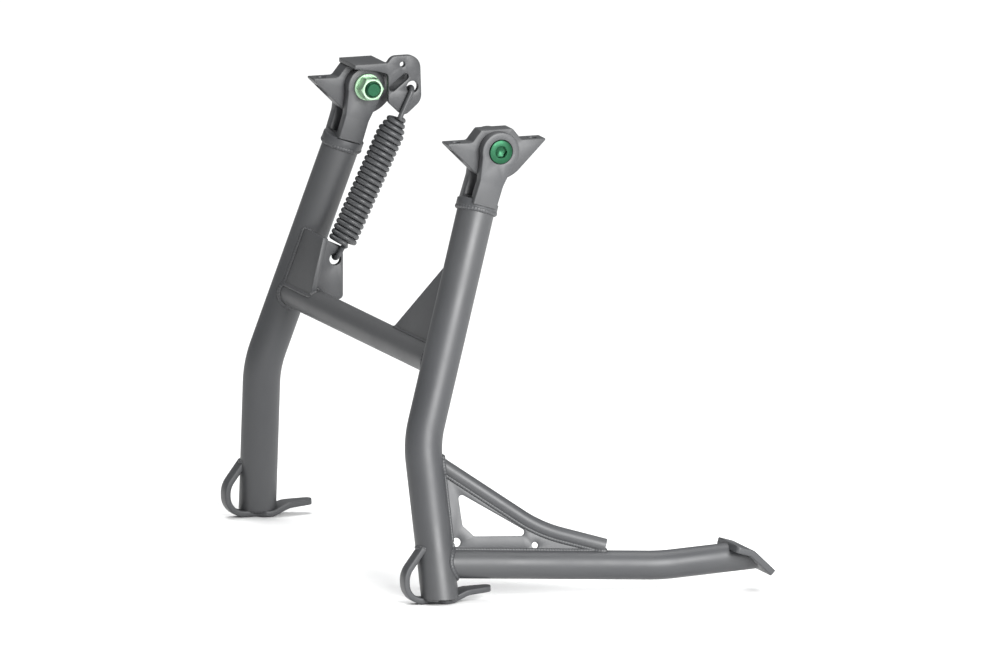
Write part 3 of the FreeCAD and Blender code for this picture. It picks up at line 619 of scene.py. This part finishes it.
# Bolts passivated to a deep green, nuts and washers to a pale one: coloured metal with a soft gloss
GREEN_BOLT = ChromatePlate("green_chromate_steel", "green_bolt", "#184C31", 0.38, metallic=0.75,
                           second="#133D28")
PALE_ZINC = ChromatePlate("pale_green_zinc", "pale_zinc", "#8CAF91", 0.40, metallic=0.7, second="#A3BFA2")
# Bushes are sintered bronze, sleeves ground steel: warm and dull beside cold and bright
BRONZE = TurnedMetal("sintered_bronze", "bronze", "#B58A54", 0.42, metallic=1.0)
GROUND_STEEL = TurnedMetal("ground_steel", "ground_steel", "#B9BBBD", 0.28, metallic=1.0)
PAPER = StudioPaper("studio_paper", "", "#F7F7F6", 0.95)


def add_piece(name: str, mesh: BMesh, nodes: Sequence[str] = (), body: Body = Body.STAND,
              finish: Finish = FRAME_COAT, crease: float = 34.0) -> Object:
    """Turn a mesh in millimetres into a dressed piece that rides on a body.

    Args:
        name: Name of the piece.
        mesh: Its form, which is used up.
        nodes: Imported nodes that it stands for.
        body: Group that it moves with.
        finish: Finish of the whole piece.
        crease: Angle above which an edge stays sharp.

    Returns:
        The new object.
    """
    bmesh.ops.scale(mesh, vec=(MM,) * 3, verts=mesh.verts)
    bmesh.ops.recalc_face_normals(mesh, faces=mesh.faces)
    data = bpy.data.meshes.new(name)
    mesh.to_mesh(data)
    mesh.free()
    data.shade_smooth()
    data.set_sharp_from_angle(angle=math.radians(crease))
    data.materials.append(finish.material())
    piece = bpy.data.objects.new(name, data)
    bpy.context.scene.collection.objects.link(piece)
    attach(piece, body.value)
    if nodes:
        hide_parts(*nodes)
    LOG.info("%s: %d faces on %s", name, len(data.polygons), body.value)
    return piece


# Weld beads


def seams(edge_of: str, lies_on: str, reach: float = 0.12) -> list[list[Vector]]:
    """Edges of one node that lie on another, which is where the weld runs.

    Args:
        edge_of: Node whose sharp edges are followed.
        lies_on: Node that they have to touch.
        reach: How near counts as touching, in millimetres.

    Returns:
        Chains of points, longest first.
    """
    mesh, other = node_mesh(edge_of), node_mesh(lies_on)
    tree = BVHTree.FromBMesh(other)
    limit = math.radians(SEAM_ANGLE)
    near = {vert for vert in mesh.verts if tree.find_nearest(vert.co, reach)[0] is not None}
    links: dict[BMVert, list[BMVert]] = {}
    for edge in mesh.edges:
        first, last = edge.verts
        if first in near and last in near and edge.is_manifold and edge.calc_face_angle(0.0) > limit:
            middle = (first.co + last.co) / 2
            if tree.find_nearest(middle, reach * 2)[0] is None:
                continue
            links.setdefault(first, []).append(last)
            links.setdefault(last, []).append(first)
    chains = []
    while links:
        start = min(links, key=lambda vert: (len(links[vert]) != 1, vert.index))
        chain = [start]
        while links.get(chain[-1]):
            here = chain[-1]
            after = links[here].pop()
            links[after].remove(here)
            chain.append(after)
        for vert in [vert for vert in links if not links[vert]]:
            del links[vert]
        chains.append([vert.co.copy() for vert in chain])
    mesh.free()
    other.free()
    return sorted(chains, key=path_length, reverse=True)


@dataclass
class WeldBead:
    """A fillet laid by hand: overlapping ripples, a little uneven, with rounded ends."""

    size: float
    body: Body = Body.STAND
    finish: Finish = FRAME_COAT
    ripple: float = 1.9
    step: float = 0.45
    shortest: float = 7.0
    closing_gap: float = 0.01
    smoothings: int = 3
    trough: float = 0.86
    crest: float = 0.2
    crest_power: float = 0.7
    sway: float = 0.1
    sway_rate: float = 0.15
    end_size: float = 0.35
    end_run: float = 2.5
    count: int = 0

    def lay(self, edge_of: str, lies_on: str, most: int = 8) -> None:
        """Lay beads wherever the edges of one node lie on another.

        Args:
            edge_of: Node whose edges are followed.
            lies_on: Node that it is welded to.
            most: Number of runs, longest first.
        """
        for chain in seams(edge_of, lies_on)[:most]:
            if path_length(chain) >= self.shortest:
                self.count += 1
                self.run(f"weld_{self.count:02d}_{edge_of}", chain)

    def run(self, name: str, chain: Sequence[Vector]) -> None:
        """Lay one bead along a chain of points.

        Args:
            name: Name of the piece.
            chain: Points that it follows.
        """
        looped = (chain[0] - chain[-1]).length < self.closing_gap
        path = evened(chain, self.step)
        for _ in range(self.smoothings):
            inner = [(path[at - 1] + path[at] * 2 + path[at + 1]) / 4 for at in range(1, len(path) - 1)]
            path = [path[0], *inner, path[-1]]
        last = len(path) - 1

        def size(index: int) -> float:
            """Radius of the bead.

            Args:
                index: Number of the point.

            Returns:
                Radius there.
            """
            along = index * self.step
            crest = abs(math.sin(math.pi * along / self.ripple))
            sway = noise.noise(path[index] * self.sway_rate)
            full = self.trough + self.crest * crest ** self.crest_power + self.sway * sway
            near_end = self.end_size + min(index, last - index) * self.step / self.end_run
            return self.size * full * (1.0 if looped else min(1.0, near_end))

        add_piece(name, sweep(path, size, sides=12), (), self.body, self.finish, crease=75)


# Sub-assemblies


@dataclass
class PivotLayout:
    """Where the pivot axis, the legs' plane and the ground lie in the frame."""

    axis_height: float = -6.0
    ground: float = -301.5
    fork_middle: float = 130.5
    leg_half: float = 124.5
    lean: float = 17.2
    splay: float = 9.25

    @property
    def plane_lean(self) -> float:
        """Lean of the legs' plane, seen from the side."""
        return math.degrees(math.atan(math.tan(math.radians(self.lean)) / math.cos(math.radians(self.splay))))

    def pivot(self, side: Side) -> Matrix:
        """Pivot centre with Z pointing outboard along the bolt."""
        return shift(0, side.value * self.fork_middle, self.axis_height) @ turn(-90 * side.value, "X")

    def leg(self, side: Side) -> Matrix:
        """Leg axis at pivot height, with -Z down the upper leg."""
        return (shift(0, side.value * self.leg_half, self.axis_height) @ turn(side.value * self.splay, "X")
                @ turn(-self.lean, "Y"))

    def plane(self) -> Matrix:
        """Pivot axis, with -Z down in the legs' plane."""
        return shift(z=self.axis_height) @ turn(-self.plane_lean, "Y")


@dataclass
class TubeFrame:
    """Both bent legs, the cross tube between them, and the forks and plates welded to them."""

    layout: PivotLayout
    tube: float = 25.0
    collar_top: float = 37.0
    into_collar: float = 1.0
    upper: float = 202.0
    lower: float = 125.0
    bend: float = 20.0
    bend_radius: float = 70.0
    bend_roll: float = 8.6
    cross: float = 19.0
    cross_drop: float = 147.0
    cross_half: float = 147.5
    foot_thick: float = 4.0
    into_foot: float = 0.05
    fork_edge: float = 0.5
    plate_edge: float = 0.4

    def leg(self, side: Side) -> None:
        """Build one leg tube, drawn to a gentle bend and standing on its foot strap.

        Args:
            side: Side that it is on.
        """
        placement = self.layout.leg(side) @ turn(-side.value * self.bend_roll, "Z")
        angle = math.radians(self.bend)
        path = rounded_path([
            ((0, 0, -self.collar_top - self.into_collar), 0),
            ((0, 0, -self.upper), self.bend_radius),
            ((-self.lower * math.sin(angle), 0, -self.upper - self.lower * math.cos(angle)), 0),
        ])
        mesh = sweep(moved_path(path, placement), self.tube / 2, sides=64)
        sole = Vector((0, 0, self.layout.ground + self.foot_thick - self.into_foot))
        trimmed(mesh, sole, Vector((0, 0, -1)))
        add_piece(f"leg_tube_{side.word}_drawn", mesh, [f"leg_tube_{side.word}"])

    def cross_tube(self) -> None:
        """The tube that joins both legs."""
        placement = self.layout.plane() @ shift(z=-self.cross_drop)
        path = [Vector((0, -self.cross_half, 0)), Vector((0, self.cross_half, 0))]
        mesh = sweep(moved_path(path, placement), self.cross / 2, sides=56)
        add_piece("cross_tube_drawn", mesh, ["cross_tube"])

    def plates(self) -> None:
        """Forks, gussets and spring bracket, from their packed forms."""
        for node, rounding in (
            ("leg_fork_left", self.fork_edge), ("leg_fork_right", self.fork_edge),
            ("gusset_left", self.plate_edge), ("gusset_right", self.plate_edge),
            ("spring_bracket", self.plate_edge),
        ):
            add_piece(f"{node}_edged", softened(node, rounding), [node])

    def build(self) -> None:
        """Build every piece of the tube frame."""
        for side in Side:
            self.leg(side)
        self.cross_tube()
        self.plates()


@dataclass
class FootStraps:
    """Flat strap under each leg: a narrow loop ahead, a broad sole and a tapered tongue behind.

    The outline gives the lower face from the loop's top to the tongue's tip, each corner by its X,
    its height over the ground and its bend radius.
    """

    layout: PivotLayout
    middle: float = 174.0
    thick: float = 4.0
    loop_half: float = 5.0
    sole_half: float = 10.0
    tongue_half: float = 4.5
    outline: tuple[tuple[float, float, float], ...] = (
        (68.1, 38.2, 0.0), (81.0, 21.0, 17.0), (80.0, 0.0, 14.0),
        (48.0, 0.0, 12.0), (36.0, 4.4, 12.0), (18.5, 5.4, 0.0),
    )
    sole_start: float = 52.0
    sole_full: float = 60.0
    tongue_run: float = 30.0
    tip_run: float = 4.0
    tip_share: float = 0.55
    leg_centre: tuple[float, float] = (56.6, 170.1)
    leg_radius: float = 12.5
    loop_top: float = 37.2
    loop_weld: float = 1.5

    def half_width(self, walked: float, left: float) -> float:
        """Half of the width at a place along the strap.

        Args:
            walked: Distance from the loop's top.
            left: Distance to the tongue's tip.

        Returns:
            Half of the width there.
        """
        share = min(1.0, max(0.0, (walked - self.sole_start) / (self.sole_full - self.sole_start)))
        half = self.loop_half + (self.sole_half - self.loop_half) * share * share * (3 - 2 * share)
        taper = min(1.0, left / self.tongue_run)
        half = min(half, self.tongue_half + (self.sole_half - self.tongue_half) * taper)
        near = max(0.0, 1 - left / self.tip_run)
        return half - self.tongue_half * self.tip_share * (1 - math.sqrt(1 - near * near))

    def build(self, side: Side) -> None:
        """Build one foot and the weld that holds its loop to the leg.

        Args:
            side: Side that it is on.
        """
        face = rounded_path([((x, 0, z), bend) for x, z, bend in self.outline])
        middle_line = beside(evened(face, step=1.0), self.thick / 2)
        mesh = strap(middle_line, self.thick, self.half_width)
        placement = shift(0, side.value * self.middle, self.layout.ground)
        add_piece(f"foot_{side.word}_strap", placed(mesh, placement), [f"foot_{side.word}"])
        leg_x, leg_y = self.leg_centre
        chain, count = [], 12
        for at in range(count + 1):
            across = self.middle - self.loop_half + 2 * self.loop_half * at / count
            reach = math.sqrt(self.leg_radius ** 2 - (across - leg_y) ** 2)
            chain.append(Vector((leg_x + reach, side.value * across, self.layout.ground + self.loop_top)))
        WeldBead(self.loop_weld).run(f"weld_loop_{side.word}", chain)


@dataclass
class FootLever:
    """Lever on the left leg, its brace and the tread that closes its end."""

    layout: PivotLayout
    root: tuple[float, float, float] = (58.0, 171.0, -276.0)
    tube: float = 19.5
    out: float = 13.7
    fall: float = 1.5
    roll: float = 18.0
    first: float = 152.5
    second: float = 78.0
    bend: float = 14.4
    bend_radius: float = 70.0
    into_tread: float = 0.6
    brace_tilt: float = 11.5
    brace_edge: float = 0.35
    rod: float = 10.0
    rod_start: float = 4.0
    rod_rise: float = 70.5
    rod_fall: float = 34.2
    rod_first: float = 86.9
    rod_second: float = 45.6
    rod_bend: float = 18.7
    rod_radius: float = 90.0
    tread_back: float = 148.0
    tread_side: float = 208.0
    tread_rise: float = 29.2
    tread_slope: float = 44.0
    tread_thick: float = 4.5
    tread_length: float = 21.2
    tread_half: float = 20.0
    tread_corner: float = 3.0
    tread_lip: float = 12.0
    lip_rise: float = 17.0
    tread_bend: float = 6.0

    def tread_place(self) -> Matrix:
        """Middle of the tread's bend."""
        return shift(-self.tread_back, self.tread_side, self.layout.ground + self.tread_rise)

    def lever(self) -> None:
        """Bent lever tube, cut where the tread closes it."""
        placement = (shift(*self.root) @ turn(180 - self.out, "Z") @ turn(self.fall, "Y")
                     @ turn(self.roll, "X"))
        angle = math.radians(self.bend)
        path = rounded_path([
            ((0, 0, 0), 0),
            ((self.first, 0, 0), self.bend_radius),
            ((self.first + self.second * math.cos(angle), self.second * math.sin(angle), 0), 0),
        ])
        mesh = sweep(moved_path(path, placement), self.tube / 2, sides=56)
        tread = self.tread_place() @ turn(180 - self.tread_slope, "Y")
        face = tread @ Vector((0, 0, self.tread_thick / 2 - self.into_tread))
        trimmed(mesh, face, -(tread.to_3x3() @ Vector((0, 0, 1))))
        add_piece("lever_tube_drawn", mesh, ["lever_tube"])

    def brace(self) -> None:
        """Bent rod from the leg to the lever, and the windowed plate under it."""
        placement = (shift(*self.root) @ turn(180 - self.out, "Z") @ turn(-self.brace_tilt, "X")
                     @ shift(z=self.rod_rise) @ turn(self.rod_fall, "Y"))
        angle = math.radians(self.rod_bend)
        path = rounded_path([
            ((self.rod_start, 0, 0), 0),
            ((self.rod_first, 0, 0), self.rod_radius),
            ((self.rod_first + self.rod_second * math.cos(angle), 0, self.rod_second * math.sin(angle)), 0),
        ])
        rod = sweep(moved_path(path, placement), self.rod / 2, sides=40)
        add_piece("brace_rod_drawn", rod, ["brace_rod"])
        add_piece("brace_plate_edged", softened("brace_plate", self.brace_edge), ["brace_plate"])

    def tread_half_width(self, walked: float, left: float) -> float:
        """Half of the tread's width at a place along it, rounded off at its four corners."""
        near = max(0.0, 1 - min(walked, left) / self.tread_corner)
        return self.tread_half - self.tread_corner * (1 - math.sqrt(1 - near * near))

    def tread(self) -> None:
        """Plate bent over the lever's end: a slanted face and a short lip that rises forward."""
        down, rise = math.radians(self.tread_slope), math.radians(self.lip_rise)
        path = rounded_path([
            ((self.tread_lip * math.cos(rise), 0, self.tread_lip * math.sin(rise)), 0),
            ((0, 0, 0), self.tread_bend),
            ((-self.tread_length * math.cos(down), 0, -self.tread_length * math.sin(down)), 0),
        ], step=0.8)
        mesh = strap(evened(path, step=0.6), self.tread_thick, self.tread_half_width)
        add_piece("lever_tread_bent", placed(mesh, self.tread_place()), ["lever_tread"])

    def build(self) -> None:
        """Build lever, brace and tread."""
        self.lever()
        self.brace()
        self.tread()


@dataclass
class PivotHardware:
    """Bolt, washer, nut, sleeve and bush of one pivot, on the layout's bolt axis.

    The head's edge gives the rings that round it, each by how far it lies in from the rim and
    below the top.
    """

    layout: PivotLayout
    fork_half: float = 14.5
    slot_half: float = 7.0
    pole: float = 0.3
    bolt: float = 10.0
    bolt_chamfer: float = 0.9
    head: float = 16.0
    head_height: float = 6.0
    head_proud: float = 0.7
    head_edge: tuple[tuple[float, float], ...] = ((0.7, 0.0), (0.2, 0.25), (0.0, 0.8))
    head_seat: float = 0.3
    socket: float = 7.0
    socket_depth: float = 3.2
    socket_cone: float = 0.9
    socket_floor: float = 0.98
    socket_step: float = 0.1
    socket_lead: float = 0.45
    socket_mouth: float = 1.2
    beyond_nut: float = 2.0
    thread: float = 4.9
    thread_pitch: float = 1.5
    thread_start: float = 0.7
    thread_ridge: float = 0.34
    nut: float = 14.0
    nut_height: float = 10.0
    nut_bore: float = 0.15
    nut_face: float = 0.96
    nut_chamfer: float = 30.0
    nut_sink: float = 0.8
    washer: float = 18.0
    washer_thick: float = 2.0
    washer_bore: float = 10.5
    washer_edge: float = 0.25
    sleeve: float = 15.0
    sleeve_bore: float = 10.2
    bush: float = 18.0
    bush_half: float = 6.7
    bush_bore: float = 15.1
    band_edge: float = 0.3

    @property
    def bolt_end(self) -> float:
        """Height of the bolt's end on the bolt axis."""
        return -(self.fork_half + self.washer_thick + self.nut_height + self.beyond_nut)

    def bolt_form(self) -> BMesh:
        """Low socket-head bolt with a chamfered end.

        Returns:
            A new mesh about the bolt axis, its head up.
        """
        top, end = self.fork_half + self.head_proud, self.bolt_end
        seat = top - self.head_height
        floor = top - self.socket_depth
        head, shank = self.head / 2, self.bolt / 2
        return rings_to_mesh([
            ring(self.pole, floor - self.socket_cone),
            ring(self.socket / 2 * self.socket_floor, floor),
            hexagon_ring(self.socket, floor + self.socket_step),
            hexagon_ring(self.socket, top - self.socket_lead),
            ring(self.socket / 2 * self.socket_mouth, top),
            *[ring(head - inward, top - down) for inward, down in self.head_edge],
            ring(head, seat + self.head_seat),
            ring(head - self.head_seat, seat),
            ring(shank, seat),
            ring(shank, end + self.bolt_chamfer),
            ring(shank - self.bolt_chamfer, end),
            ring(self.pole, end),
        ])

    def thread_form(self) -> BMesh:
        """Thread on the bolt's end, past the nut.

        Returns:
            A new mesh about the bolt axis.
        """
        last, per_turn, start = 60, 40, self.bolt_end + self.thread_start
        grow, fade, stub = 12, 6, 0.05
        path = [polar(self.thread, angle, start + self.thread_pitch * angle / math.tau)
                for angle in (math.tau * at / per_turn for at in range(last + 1))]

        def ridge(index: int) -> float:
            """Radius of the ridge, which runs out at both ends."""
            return self.thread_ridge * min(1.0, index / grow, (last - index) / fade + stub)

        return sweep(path, ridge, sides=8)

    def nut_form(self) -> BMesh:
        """Hexagon nut, both faces chamfered.

        Returns:
            A new mesh about the bolt axis.
        """
        near = -(self.fork_half + self.washer_thick)
        far = near - self.nut_height
        bore, chamfer = self.bolt / 2 + self.nut_bore, self.nut / 2 * self.nut_face
        slope = math.tan(math.radians(self.nut_chamfer))
        return rings_to_mesh([
            ring(bore, near),
            ring(chamfer, near),
            hexagon_ring(self.nut, near, chamfer, slope),
            hexagon_ring(self.nut, far, chamfer, -slope),
            ring(chamfer, far),
            ring(bore + self.nut_sink, far),
            ring(bore, far + self.nut_sink),
        ], closed=True)

    def band_form(self, outer: float, inner: float, low: float, high: float,
                  edge: float) -> BMesh:
        """A turned ring with broken edges.

        Args:
            outer: Outer radius.
            inner: Radius of its bore.
            low: Lower end on the bolt axis.
            high: Upper end.
            edge: Width of each broken edge.

        Returns:
            A new mesh about the bolt axis.
        """
        profile = (
            (inner, low + edge), (inner + edge, low), (outer - edge, low), (outer, low + edge),
            (outer, high - edge), (outer - edge, high), (inner + edge, high), (inner, high - edge),
        )
        return rings_to_mesh([ring(radius, height) for radius, height in profile], closed=True)

    def build(self, side: Side) -> None:
        """Build one pivot's hardware.

        Args:
            side: Side that it is on.
        """
        axis, word = self.layout.pivot(side), side.word
        add_piece(f"pivot_bolt_{word}_socket", placed(self.bolt_form(), axis), [f"pivot_bolt_{word}"],
                  finish=GREEN_BOLT, crease=28)
        add_piece(f"bolt_thread_{word}", placed(self.thread_form(), axis), finish=GREEN_BOLT, crease=60)
        add_piece(f"pivot_nut_{word}_hexagon", placed(self.nut_form(), axis), [f"pivot_nut_{word}"],
                  finish=PALE_ZINC, crease=24)
        near = -self.fork_half
        for node, outer, bore, low, high, edge, body, finish in (
            (f"pivot_washer_{word}", self.washer, self.washer_bore, near - self.washer_thick, near,
             self.washer_edge, Body.STAND, PALE_ZINC),
            (f"pivot_sleeve_{word}", self.sleeve, self.sleeve_bore, -self.slot_half, self.slot_half,
             self.band_edge, Body.STAND, GROUND_STEEL),
            (f"bracket_bush_{word}", self.bush, self.bush_bore, -self.bush_half, self.bush_half,
             self.band_edge, Body.FRAME_SIDE, BRONZE),
        ):
            form = placed(self.band_form(outer / 2, bore / 2, low, high, edge), axis)
            add_piece(f"{node}_turned", form, [node], body, finish)


@dataclass
class FrameBrackets:
    """The two brackets that the stand hangs from, and the spring's anchor."""

    bracket_edge: float = 0.5
    anchor_edge: float = 0.4

    def build(self) -> None:
        """Build both brackets and the anchor, from their packed forms."""
        for node, rounding in (
            ("pivot_bracket_left", self.bracket_edge), ("pivot_bracket_right", self.bracket_edge),
            ("spring_anchor", self.anchor_edge),
        ):
            add_piece(f"{node}_edged", softened(node, rounding), [node], Body.FRAME_SIDE, BRACKET_COAT)


@dataclass
class ReturnSpring:
    """Extension spring: close coils, a drawn-in end and a bent hook at each end.

    It is drawn down its own axis from the upper eye. The straight heights are where the wire runs
    down beside the anchor. Each step of turn_in leads the last coil to the lower hook: its X, its
    share of the coil's or the hook's reach, and how far it lies below the coil.
    """

    eye: tuple[float, float, float] = (-28.5, -107.5, -6.0)
    slope: float = 25.75
    length: float = 125.5
    folded: float = 88.4
    outside: float = 19.0
    wire: float = 3.6
    pitch: float = 3.8
    coil_top: float = 33.8
    coils: int = 21
    per_turn: int = 30
    taper_top: float = 22.0
    taper_turns: float = 3.0
    taper_gap: float = 0.6
    straight: tuple[float, ...] = (9.0, 13.0, 17.0, 21.0)
    turn_in: tuple[tuple[float, float, float], ...] = ((-0.8, 0.92, 1.2), (-0.2, 1.15, 2.6))
    plate: float = 4.0
    gap: float = 0.3
    crown_lift: float = 0.8
    crown_slack: float = 0.1
    hook_run: float = 14.0
    upper_tail: float = 12.0
    lower_tail: float = 7.5

    @property
    def hook_side(self) -> float:
        """Distance of the wire's middle from the plate's middle, beside the plate."""
        return self.plate / 2 + self.gap + self.wire / 2

    def hook(self, eye: float, inward: float, tail: float) -> list[Vector]:
        """Half of the wire that passes through a plate.

        Args:
            eye: Height of the plate's hole.
            inward: Direction of the coils from there, -1 or 1.
            tail: Length of the free end.

        Returns:
            Points from the free end, through the hole, towards the coils.
        """
        side = self.hook_side
        crown = eye + self.crown_lift * inward
        return rounded_path([
            ((0, -side, eye + tail * inward), 0),
            ((0, -side, crown), side - self.crown_slack),
            ((0, side, crown), side - self.crown_slack),
            ((0, side, eye + self.hook_run * inward), 0),
        ], step=0.5)[:-1]

    def centre_line(self) -> list[Vector]:
        """The whole wire.

        Returns:
            Points from the upper hook's end to the lower hook's end.
        """
        mean, side = (self.outside - self.wire) / 2, self.hook_side
        bottom = self.coil_top + self.coils * self.pitch
        path = self.hook(0.0, -1.0, self.upper_tail)
        path += [Vector((0, side, -height)) for height in self.straight]
        lead = round(self.taper_turns * self.per_turn)
        start = self.taper_top + self.taper_gap
        for at in range(lead):
            share = at / lead
            angle = math.pi / 2 - math.tau * self.taper_turns * (1 - share)
            reach = side + (mean - side) * share
            path.append(polar(reach, angle, -start - (self.coil_top - start) * share))
        for at in range(self.coils * self.per_turn + 1):
            angle = math.pi / 2 + math.tau * at / self.per_turn
            path.append(polar(mean, angle, -self.coil_top - self.pitch * at / self.per_turn))
        for (over, share, drop), reach in zip(self.turn_in, (mean, side)):
            path.append(Vector((over, reach * share, -bottom - drop)))
        return path + self.hook(-self.length, 1.0, self.lower_tail)[::-1]

    def build(self) -> None:
        """Build the spring on a mesh of its own."""
        placement = shift(*self.eye) @ turn(-self.slope, "Y")
        mesh = sweep(moved_path(self.centre_line(), placement), self.wire / 2, sides=14)
        piece = add_piece("return_spring_wound", mesh, ["return_spring"], Body.SPRING, SPRING_COAT, crease=60)
        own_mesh(piece)


@dataclass
class Welds:
    """Beads at every welded joint of the stand, and at the anchor's foot."""

    tube_bead: float = 1.8
    plate_bead: float = 1.3

    def build(self) -> None:
        """Lay the beads round tubes first, then those along plates."""
        tube = WeldBead(self.tube_bead)
        for edge_of, lies_on in (
            ("cross_tube", "leg_tube_left"), ("cross_tube", "leg_tube_right"),
            ("lever_tube", "leg_tube_left"),
            ("brace_rod", "leg_tube_left"), ("brace_rod", "lever_tube"),
            ("leg_tube_left", "leg_fork_left"), ("leg_tube_right", "leg_fork_right"),
            ("leg_tube_left", "foot_left"), ("leg_tube_right", "foot_right"),
        ):
            tube.lay(edge_of, lies_on, most=1)
        plate = WeldBead(self.plate_bead, count=tube.count)
        for edge_of, lies_on in (
            ("gusset_left", "leg_tube_left"), ("gusset_left", "cross_tube"),
            ("gusset_right", "leg_tube_right"), ("gusset_right", "cross_tube"),
            ("spring_bracket", "cross_tube"), ("spring_bracket", "gusset_right"),
            ("brace_plate", "leg_tube_left"), ("brace_plate", "lever_tube"), ("brace_plate", "brace_rod"),
        ):
            plate.lay(edge_of, lies_on)
        anchor = WeldBead(self.plate_bead, Body.FRAME_SIDE, BRACKET_COAT, count=plate.count)
        anchor.lay("pivot_bracket_right", "spring_anchor")


@dataclass
class Studio:
    """White paper, a soft box beside the camera, a broad light above and the camera."""

    layout: PivotLayout
    azimuth: float = 160.0
    elevation: float = 10.2
    target: tuple[float, float, float] = (-44.0, 21.0, -150.5)
    width: float = 664.0
    distance: float = 3000.0
    nearest: float = 50.0
    farthest: float = 50000.0
    sheet_radius: float = 14000.0
    sheet_gap: float = 0.6
    air: str = "#F6F8FA"
    air_strength: float = 0.33
    box_place: tuple[float, float, float] = (-200.0, 1750.0, 500.0)
    box_size: float = 900.0
    box_watts: float = 66.0
    sun_from: tuple[float, float, float] = (0.05, -0.25, 1.0)
    sun_strength: float = 2.5
    sun_spread: float = 40.0

    def paper(self) -> None:
        """Broad level sheet of paper, wide enough to fill every view."""
        mesh = bmesh.new()
        bmesh.ops.create_circle(mesh, cap_ends=True, segments=96, radius=self.sheet_radius)
        placed(mesh, shift(0, 0, self.layout.ground - self.sheet_gap))
        bmesh.ops.scale(mesh, vec=(MM,) * 3, verts=mesh.verts)
        data = bpy.data.meshes.new("paper")
        mesh.to_mesh(data)
        mesh.free()
        data.materials.append(PAPER.material())
        paper = bpy.data.objects.new("paper", data)
        bpy.context.scene.collection.objects.link(paper)

    def hang(self, name: str, data: ID, place: Sequence[float], back: Vector) -> Object:
        """Put a light or a camera in the scene.

        Args:
            name: Name of the object.
            data: The light or camera.
            place: Where it is, in metres.
            back: Direction that it shines or looks from.

        Returns:
            The new object.
        """
        holder = bpy.data.objects.new(name, data)
        holder.location = place
        holder.rotation_mode = "QUATERNION"
        holder.rotation_quaternion = back.to_track_quat("Z", "Y")
        bpy.context.scene.collection.objects.link(holder)
        return holder

    def lights(self) -> None:
        """Soft light from beside the camera, over an even light from above."""
        world = bpy.context.scene.world or bpy.data.worlds.new("studio_air")
        bpy.context.scene.world = world
        world.use_nodes = True
        background = world.node_tree.nodes["Background"]
        background.inputs["Color"].default_value = linear(self.air)
        background.inputs["Strength"].default_value = self.air_strength
        box = bpy.data.lights.new("soft_box_front", "AREA")
        box.shape, box.size, box.energy = "SQUARE", self.box_size * MM, self.box_watts
        place = [value * MM for value in self.box_place]
        self.hang("soft_box_front", box, place, Vector(place) - Vector(self.target) * MM)
        sun = bpy.data.lights.new("overhead", "SUN")
        sun.energy, sun.angle = self.sun_strength, math.radians(self.sun_spread)
        self.hang("overhead", sun, (0, 0, 0), Vector(self.sun_from))

    def camera(self) -> None:
        """Parallel camera, as the photograph has no perspective."""
        lens = bpy.data.cameras.new("camera")
        lens.type = "ORTHO"
        lens.ortho_scale = self.width * MM
        lens.clip_start, lens.clip_end = self.nearest * MM, self.farthest * MM
        around, above = math.radians(self.azimuth), math.radians(self.elevation)
        back = Vector((math.sin(around) * math.cos(above), -math.cos(around) * math.cos(above),
                       math.sin(above)))
        place = Vector(self.target) * MM + back * (self.distance * MM)
        bpy.context.scene.camera = self.hang("camera", lens, place, back)

    def build(self) -> None:
        """Set up paper, lights and camera."""
        bpy.context.scene.view_settings.view_transform = "Standard"
        self.paper()
        self.lights()
        self.camera()


def main() -> None:
    """Build the stand in order."""
    logging.basicConfig(level=logging.INFO, format="%(message)s")
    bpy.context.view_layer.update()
    layout = PivotLayout()
    TubeFrame(layout).build()
    feet = FootStraps(layout)
    for side in Side:
        feet.build(side)
    FootLever(layout).build()
    hardware = PivotHardware(layout)
    for side in Side:
        hardware.build(side)
    FrameBrackets().build()
    ReturnSpring().build()
    Welds().build()
    Studio(layout).build()


if __name__ == "__main__":
    main()
